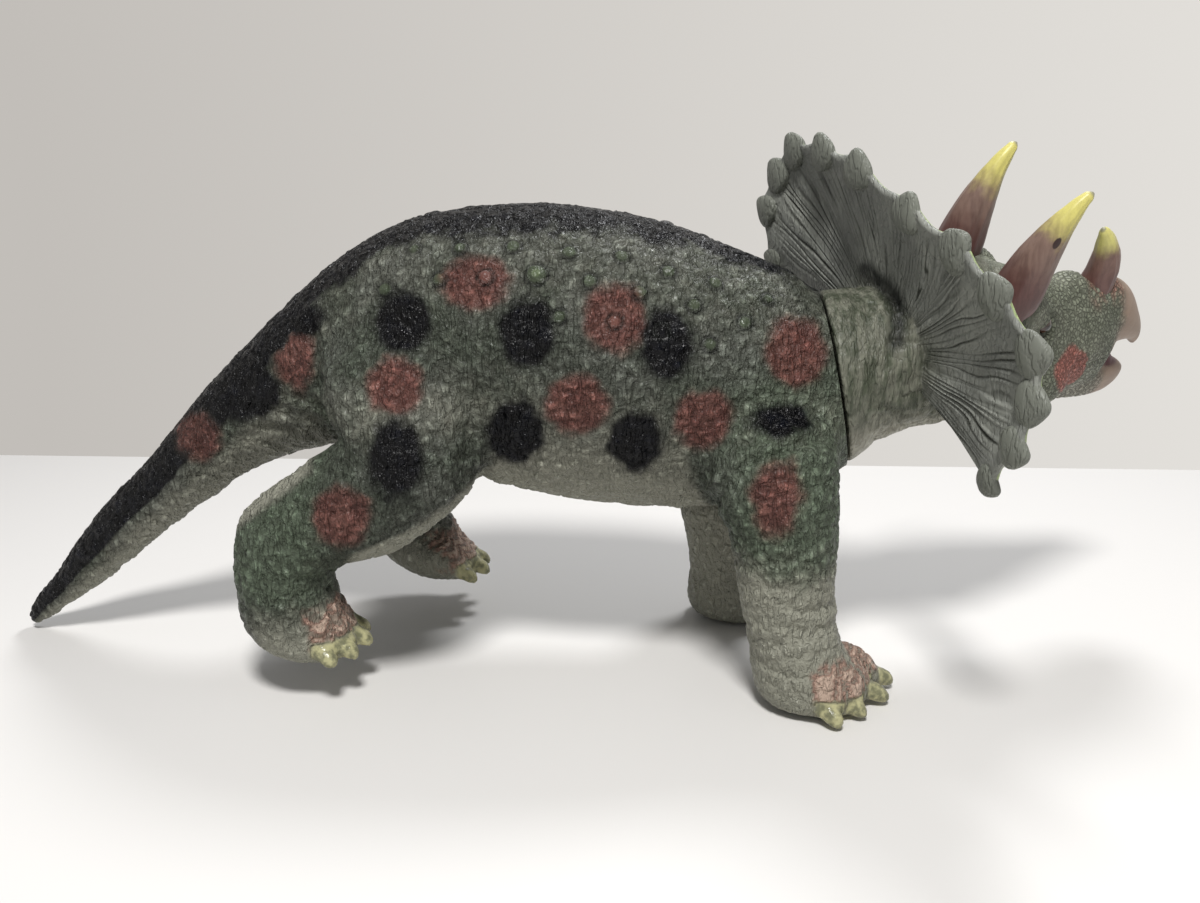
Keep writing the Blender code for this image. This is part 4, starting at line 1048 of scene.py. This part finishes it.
class Shader(Nodes):
    def __init__(self, name):
        self.mat = bpy.data.materials.new(name)
        self.mat.use_nodes = True
        super().__init__(self.mat.node_tree)
        self.surface = self.node("ShaderNodeBsdfPrincipled")
        self.node("ShaderNodeOutputMaterial", {0: self.surface.outputs[0]})
        self.place = self.node("ShaderNodeTexCoord").outputs["Object"]

    def attr(self, name):
        return self.node("ShaderNodeAttribute", attribute_name=name).outputs["Fac"]

    def scaled(self, x, y=None, z=None):
        """Object coordinates divided by sizes in millimetres."""
        y, z = y or x, z or x
        n = self.node("ShaderNodeMapping", {"Vector": self.place,
                                            "Scale": (1000 / x, 1000 / y, 1000 / z)}, vector_type="POINT")
        return n.outputs[0]

    def noise(self, size, detail=3.0, rough=0.55, squash=None):
        v = self.scaled(size, *(squash or ()))
        return self.node("ShaderNodeTexNoise", {"Vector": v, "Scale": 1.0, "Detail": detail,
                                                "Roughness": rough}).outputs[0]

    def voronoi(self, size, warp):
        """The distance to the edge between the cells, which a noise bends."""
        v = self.scaled(size)
        n = self.node("ShaderNodeTexNoise", {"Vector": v, "Scale": 0.6, "Detail": 1.0})
        v = self.node("ShaderNodeMix", {0: warp, 4: v, 5: n.outputs[1]}, data_type="VECTOR").outputs[1]
        return self.node("ShaderNodeTexVoronoi", {"Vector": v, "Scale": 1.0}, feature="DISTANCE_TO_EDGE").outputs[0]

    def ridges(self, size, squash=None):
        """The distance of a soft noise from its middle value: zero along wandering lines."""
        n = self.noise(size, 2.0, 0.5, squash)
        return self.math("ABSOLUTE", self.math("MULTIPLY_ADD", n, 2.0, -1.0))

    def bump(self, height, distance, strength=1.0):
        return self.node("ShaderNodeBump", {"Height": height, "Distance": distance * 0.001,
                                            "Strength": strength}).outputs[0]

    def done(self, **sockets):
        for key, value in sockets.items():
            self.put(self.surface.inputs[key.replace("_", " ")], value)
        return self.mat


def vinyl_skin():
    s = Shader("body_vinyl_leather")
    big, mid, fine = s.noise(38, 3), s.noise(7, 4), s.noise(1.3, 3)
    pebble = s.step(s.voronoi(3.4, warp=0.50), 0.0, 0.46)
    grain = s.step(s.voronoi(1.25, warp=0.25), 0.0, 0.40)
    worm = s.step(s.ridges(2.4), 0.0, 0.22)
    fold = s.step(s.ridges(2.8, (3.6, 9.0)), 0.0, 0.18)
    cell, knob = s.attr("cell"), s.attr("knob")
    dark, red, pale = s.attr("dark"), s.attr("red"), s.attr("pale")
    smooth = s.larger(s.attr("claw"), s.step(knob, 0.2, 0.8, 0.0, 0.6))
    # top: 1 on the leather cells' tops, lower in their cracks, folds and worm lines; below it darkens the colour there
    # as painted shade
    top = s.times(s.step(pebble, 0.0, 1.0, 0.45, 1.0), s.step(grain, 0.0, 1.0, 0.85, 1.0),
                    s.step(worm, 0.0, 1.0, 0.75, 1.0), s.step(fold, 0.0, 1.0, 0.6, 1.0),
                    s.step(cell, 0.0, 0.9, 0.55, 1.0))
    top = s.larger(top, s.times(smooth, 0.70))
    # less painted crease shade on the pale paint and on the toes
    shallow = s.times(s.larger(pale, s.attr("toe")), 0.50)
    colour = s.mix(s.step(big, 0.35, 0.7), (96, 104, 91), (122, 126, 117))
    colour = s.mix(s.times(s.attr("green"), 0.75), colour, (126, 142, 119))
    # pale: the pale paint of belly, shins and tail, with the painted sheen of the upper flank
    colour = s.mix(s.step(s.plus(pale, s.swing(mid, 0.5)), 0.0, 1.0),
                   colour, (182, 182, 166))
    colour = s.mix(s.step(knob, 0.1, 0.6, 0.0, 0.75), colour, (78, 92, 66))
    colour = s.mix(s.step(knob, 1.15, 1.35, 0.0, 0.8), colour, (122, 138, 102))
    speck = s.swing(mid, 0.40)
    colour = s.mix(s.step(s.plus(red, speck), 0.0, 1.0), colour,
                   s.mix(s.step(mid, 0.3, 0.7), (128, 84, 77), (150, 104, 94)))
    colour = s.mix(s.step(s.minus(dark, speck), 0.0, 0.9), colour,
                   s.mix(s.step(mid, 0.35, 0.75), (6, 6, 10), (20, 22, 31)))
    toe = s.attr("toe")
    colour = s.mix(s.step(toe, 0.10, 0.85), colour, s.mix(mid, (158, 110, 98), (200, 158, 140)))
    colour = s.mix(s.step(toe, 0.55, 1.00), colour, (236, 208, 188))
    colour = s.mix(s.attr("claw"), colour, s.mix(s.step(s.noise(4), 0.35, 0.65), (132, 132, 104),
                                                 (206, 202, 156)))
    # painted shade: the colour darkened in the creases, where top is low
    colour = s.mix(1.0, colour, s.mix(s.larger(top, shallow), (96, 94, 90),
                                      (255, 255, 255)), "MULTIPLY")
    # painted shade: the groove round each bump darkened nearly to black
    colour = s.mix(s.times(s.attr("ring_groove_shade"), 0.8), colour, (22, 24, 22))
    # painted highlight with dry-brushed paint: the tops of the cells made paler, except on the dark paint
    rub_and_highlight = s.times(s.step(s.times(top, s.step(fine, 0.35, 0.7)), 0.5, 1.0, 0.0, 0.20),
                 s.minus(1.0, s.step(dark, 0.0, 0.6)))
    colour = s.mix(rub_and_highlight, colour, (180, 182, 170))
    rough = s.minus(s.step(top, 0.2, 1.0, 0.42, 0.24), s.times(dark, 0.10))
    rough = s.minus(rough, s.times(smooth, 0.12))
    height = s.plus(s.times(pebble, 0.85), s.times(grain, 0.10))
    height = s.plus(height, s.plus(s.times(worm, 0.14), s.times(fold, 0.35)))
    height = s.times(height, s.step(smooth, 0.2, 0.8, 1.0, 0.10))
    return s.done(Base_Color=colour, Roughness=rough, Specular_IOR_Level=0.20, Normal=s.bump(height, 1.5, 1.0))


def head_skin():
    s = Shader("head_vinyl_scaled")
    big, mid, fine = s.noise(30, 3), s.noise(6, 4), s.noise(1.2, 3)
    scale = s.step(s.voronoi(1.9, warp=0.15), 0.03, 0.22)
    cell, groove = s.attr("cell"), s.attr("groove")
    fan, rim, beak = s.attr("fan"), s.attr("rim"), s.attr("beak")
    colour = s.mix(s.step(big, 0.35, 0.7), (120, 125, 108), (142, 145, 128))
    colour = s.mix(s.attr("facial"), s.mix(s.step(s.noise(4, 4, 0.65, (9, 16)), 0.36, 0.62), (74, 79, 65),
                                            (116, 117, 104)), colour)
    colour = s.mix(s.attr("pale"), colour, (160, 158, 144))
    colour = s.mix(s.times(s.attr("warm"), s.step(mid, 0.35, 0.6)), colour, (160, 118, 104))
    colour = s.mix(s.step(s.plus(s.attr("red"), s.swing(fine, 0.5)),
                          0.3, 0.7), colour, (170, 110, 98))
    grey = s.mix(s.step(big, 0.35, 0.7), (124, 126, 120), (144, 146, 138))
    # painted shade in the valleys of the frill's ridges, and a painted highlight on their crests
    grey = s.mix(s.step(groove, 0.10, -0.75), grey, (58, 60, 54))
    grey = s.mix(s.times(s.step(groove, 0.2, 0.9), 0.35), grey, (164, 166, 158))
    grey = s.mix(s.times(s.attr("boss"), 0.7), grey, (104, 107, 97))
    colour = s.mix(fan, colour, grey)
    colour = s.mix(s.step(s.plus(rim, s.swing(mid, 0.5)), 0.35, 0.8),
                   colour, (158, 174, 120))
    colour = s.mix(beak, colour, s.mix(mid, (134, 112, 100), (158, 140, 122)))
    colour = s.mix(s.attr("mouth"), colour, (78, 36, 42))
    colour = s.mix(s.times(s.attr("shade"), s.step(mid, 0.2, 0.6, 0.5, 0.95)), colour, (34, 36, 34))
    facial = s.attr("facial")
    flat = s.larger(fan, beak)
    fold = s.step(s.ridges(2.6, (5.0, 9.0)), 0.0, 0.22)
    soft = s.times(s.step(fold, 0.0, 1.0, 0.8, 1.0), s.step(cell, 0.0, 0.8, 0.8, 1.0))
    beads = s.times(s.step(scale, 0, 1, 0.45, 1.0), s.step(cell, 0.0, 0.8, 0.6, 1.0))
    # 1 on the scales' tops and on the flat fan and beak, lower in the gaps and folds
    unshaded_tops = s.plus(s.times(beads, facial),
                  s.times(soft, s.minus(1.0, facial)))
    unshaded_tops = s.larger(unshaded_tops, s.times(flat, 0.93))
    # painted shade: the colour darkened in the gaps between the scales and in the neck's folds
    colour = s.mix(1.0, colour, s.mix(unshaded_tops, (96, 94, 90), (255, 255, 255)), "MULTIPLY")
    height = s.times(scale, facial, s.step(flat, 0.0, 1.0, 0.8, 0.0))
    height = s.plus(height, s.times(fold, s.minus(1.0, facial), 0.6))
    height = s.plus(height, s.times(mid, 0.35))
    height = s.plus(height, s.times(fine, 0.18))
    rough = s.step(unshaded_tops, 0.4, 1.0, 0.6, 0.42)
    return s.done(Base_Color=colour, Roughness=rough, Specular_IOR_Level=0.25, Normal=s.bump(height, 0.6, 1.0))


def horn_vinyl(name, base, middle, tip):
    s = Shader(name)
    mid, fine = s.noise(5, 4), s.noise(0.9, 2)
    up = s.plus(s.attr("up"), s.swing(mid, 0.16))
    colour = s.mix(s.step(up, 0.28, 0.60), base, middle)
    colour = s.mix(s.step(up, 0.60, 0.84), colour, tip)
    colour = s.mix(s.step(s.attr("up"), 0.965, 0.995), colour, (138, 136, 112))
    streak = s.noise(2.2, 3, 0.6, (2.2, 14))
    streak = s.times(s.step(streak, 0.30, 0.65, 0.45, 0.0), s.step(s.attr("up"), 0.5, 0.9, 1.0, 0.25))
    colour = s.mix(streak, colour, (62, 36, 34))
    chip = s.step(s.attr("chip"), 0.4, 0.6)
    colour = s.mix(chip, colour, (46, 26, 24))
    height = s.plus(s.times(mid, 0.5), s.times(fine, 0.2))
    height = s.minus(height, s.times(chip, 0.5))
    return s.done(Base_Color=colour, Roughness=s.step(mid, 0.2, 0.8, 0.34, 0.46), Normal=s.bump(height, 0.25, 0.6))


def eye_gloss():
    s = Shader("eye_dark_gloss")
    colour = s.mix(s.step(s.attr("iris"), 0.35, 0.75), (12, 10, 10), (60, 34, 22))
    colour = s.mix(s.step(s.attr("iris"), 0.86, 0.94), colour, (8, 7, 7))
    return s.done(Base_Color=colour, Roughness=s.step(s.noise(4), 0.2, 0.8, 0.08, 0.16), Coat_Weight=0.6)


def fibre():
    s = Shader("white_fibre_filling")
    hair = s.noise(1.1, 5, 0.7, (6.0, 2.0))
    cloud = s.noise(9, 3)
    colour = s.mix(s.step(hair, 0.3, 0.7), (206, 204, 198), (238, 237, 233))
    return s.done(Base_Color=s.mix(s.step(cloud, 0.3, 0.7, 0.0, 0.5), colour, (222, 218, 208)),
                  Roughness=s.step(hair, 0.2, 0.8, 0.85, 0.95), Sheen_Weight=0.4,
                  Normal=s.bump(s.plus(hair, cloud), 1.2, 0.8))


# ---------------------------------------------------------------- the pieces

def take(obj, name, node, body, slot, material):
    obj.name = obj.data.name = name
    obj.data.materials.clear()
    obj.data.materials.append(material)
    polygons = obj.data.polygons
    polygons.foreach_set("material_index", [0] * len(polygons))
    polygons.foreach_set("use_smooth", [True] * len(polygons))
    obj.data.update()
    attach(obj, body)
    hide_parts(node)
    return obj


take(paint_body(make_body()), "body_vinyl_form", "body_skin", "body", "body_vinyl", vinyl_skin())
take(paint_head(make_head()), "head_vinyl_form", "head_skin", "head", "head_vinyl", head_skin())

HORN_MATERIAL = horn_vinyl("horn_vinyl_graded", (92, 60, 56), (126, 103, 92), (208, 199, 114))
NOSE_MATERIAL = horn_vinyl("nose_horn_vinyl_graded", (104, 74, 68), (120, 92, 82), (206, 200, 120))
for name, rows, side, count, sides, seed, material in (
        ("right_brow_horn", BROW_HORN, -1, 70, 56, 100, HORN_MATERIAL),
        ("left_brow_horn", BROW_HORN, 1, 70, 56, 102, HORN_MATERIAL),
        ("nose_horn", NOSE_HORN, 1, 50, 48, 111, NOSE_MATERIAL)):
    shape, tags = horn(rows, side, count, sides, seed)
    piece = build(name + "_form", *shape)
    chip = np.exp(-(((tags["up"] - 0.66) / 0.045) ** 2 + ((tags["turn"] - 4.3) / 0.25) ** 2))
    paint(piece.data, "up", tags["up"])
    paint(piece.data, "chip", chip * (side < 0))
    take(piece, name + "_form", name, "head", "horn_vinyl", material)

EYE_MATERIAL = eye_gloss()
for name, side in (("right_eye", -1), ("left_eye", 1)):
    at = points(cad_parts[name].data).mean(0)
    out = unit(HEAD_LEFT * side + FORE * 0.25)
    v, faces = ellipsoid(at, out * 4.6, unit(np.cross(out, HEAD_UP)) * 5.2, HEAD_UP * 4.8, 40, 25)
    d = (v - at) @ out / 4.6
    v = v + out * (0.5 * near(0.80, 0.98, d))[:, None]
    piece = build(name + "_form", v, faces)
    paint(piece.data, "iris", near(0.55, 0.62, d) * 0.8 + near(0.90, 0.93, d) * 0.2)
    take(piece, name + "_form", name, "head", "eye_gloss", EYE_MATERIAL)

FIBRE = fibre()
for name, parts, voxel, ends in (("body_stuffing", body_parts(6.2, 0.6, False), 4.0, (-30, 40)),
                                 ("head_stuffing", head_shape(6.2, 0.6, False), 3.6, (-60, 8))):
    piece = remeshed(build(name + "_form", *together(parts)), voxel)
    p = points(piece.data)
    p = p + normals(piece.data) * (0.8 * fbm(p / 9.0, 2, 121) - 0.6)[:, None]
    put_points(piece.data, p)
    cut(piece, build("trim", *neck_tube([(t, 70) for t in ends], 40)))
    take(piece, name + "_form", name, name.split("_")[0], "fibre_filling", FIBRE)

# ---------------------------------------------------------------- floor, light and camera

def on_floor(px, py):
    d = sight(px, py)
    return CAMERA - d * CAMERA[2] / d[2]


far_left, far_right = on_floor(-900, 443.8), on_floor(2100, 481.3)
floor = bpy.data.meshes.new("table_top")
corners = to_row([far_left, far_right, far_right + (0, -4000, 0), far_left + (0, -4000, 0)])
corners[:, 2] = 0.0
floor.from_pydata(corners.tolist(), [], [(0, 3, 2, 1)])
floor = linked("table_top", floor)
floor.data.materials.append(Shader("table_white").done(Base_Color=linear(225, 223, 220), Roughness=0.55))

world = bpy.data.worlds.new("soft_studio")
bpy.context.scene.world = world
world.use_nodes = True
w = Nodes(world.node_tree)
path = w.node("ShaderNodeLightPath").outputs
# painted light on the wall: darker towards the left and paler towards the right
direction = w.node("ShaderNodeSeparateXYZ", {0: w.node("ShaderNodeTexCoord").outputs["Generated"]}).outputs[0]
wall_light_gradient = w.mix(w.step(direction, -0.52, 0.40, how="LINEAR"), (194, 190, 185), (226, 223, 218))
soft = w.node("ShaderNodeBackground", {0: linear(236, 238, 242), 1: 0.27})
wall = w.node("ShaderNodeBackground", {0: wall_light_gradient, 1: 1.0})
seen = w.larger(path["Is Camera Ray"], w.larger(path["Is Glossy Ray"], path["Is Transmission Ray"]))
both = w.node("ShaderNodeMixShader", {0: seen, 1: soft.outputs[0], 2: wall.outputs[0]})
w.node("ShaderNodeOutputWorld", {0: both.outputs[0]})


def aimed(obj, place, direction):
    obj.location = place
    obj.rotation_mode = "QUATERNION"
    obj.rotation_quaternion = Vector(direction).to_track_quat("-Z", "Y")


def lamp(name, place, target, size, power, colour):
    data = bpy.data.lights.new(name, "AREA")
    data.shape = "DISK"
    data.size = size
    data.energy = power
    data.color = colour
    aimed(linked(name, data), place, Vector(target) - Vector(place))


lamp("key", (0.06, -0.80, 1.40), (0, 0, 0.1), 0.32, 24.0, (1.0, 0.99, 0.98))
lamp("ceiling", (0.30, 0.60, 1.20), (0.1, 0.2, 0.0), 0.32, 8.0, (0.97, 0.98, 1.0))

camera = bpy.data.cameras.new("photo_view")
camera.sensor_width = SENSOR
camera.lens = FOCAL / WIDTH * SENSOR
camera = linked("photo_view", camera)
aimed(camera, to_row(CAMERA), LOOK)
bpy.context.scene.camera = camera
bpy.context.scene.view_settings.view_transform = "Standard"
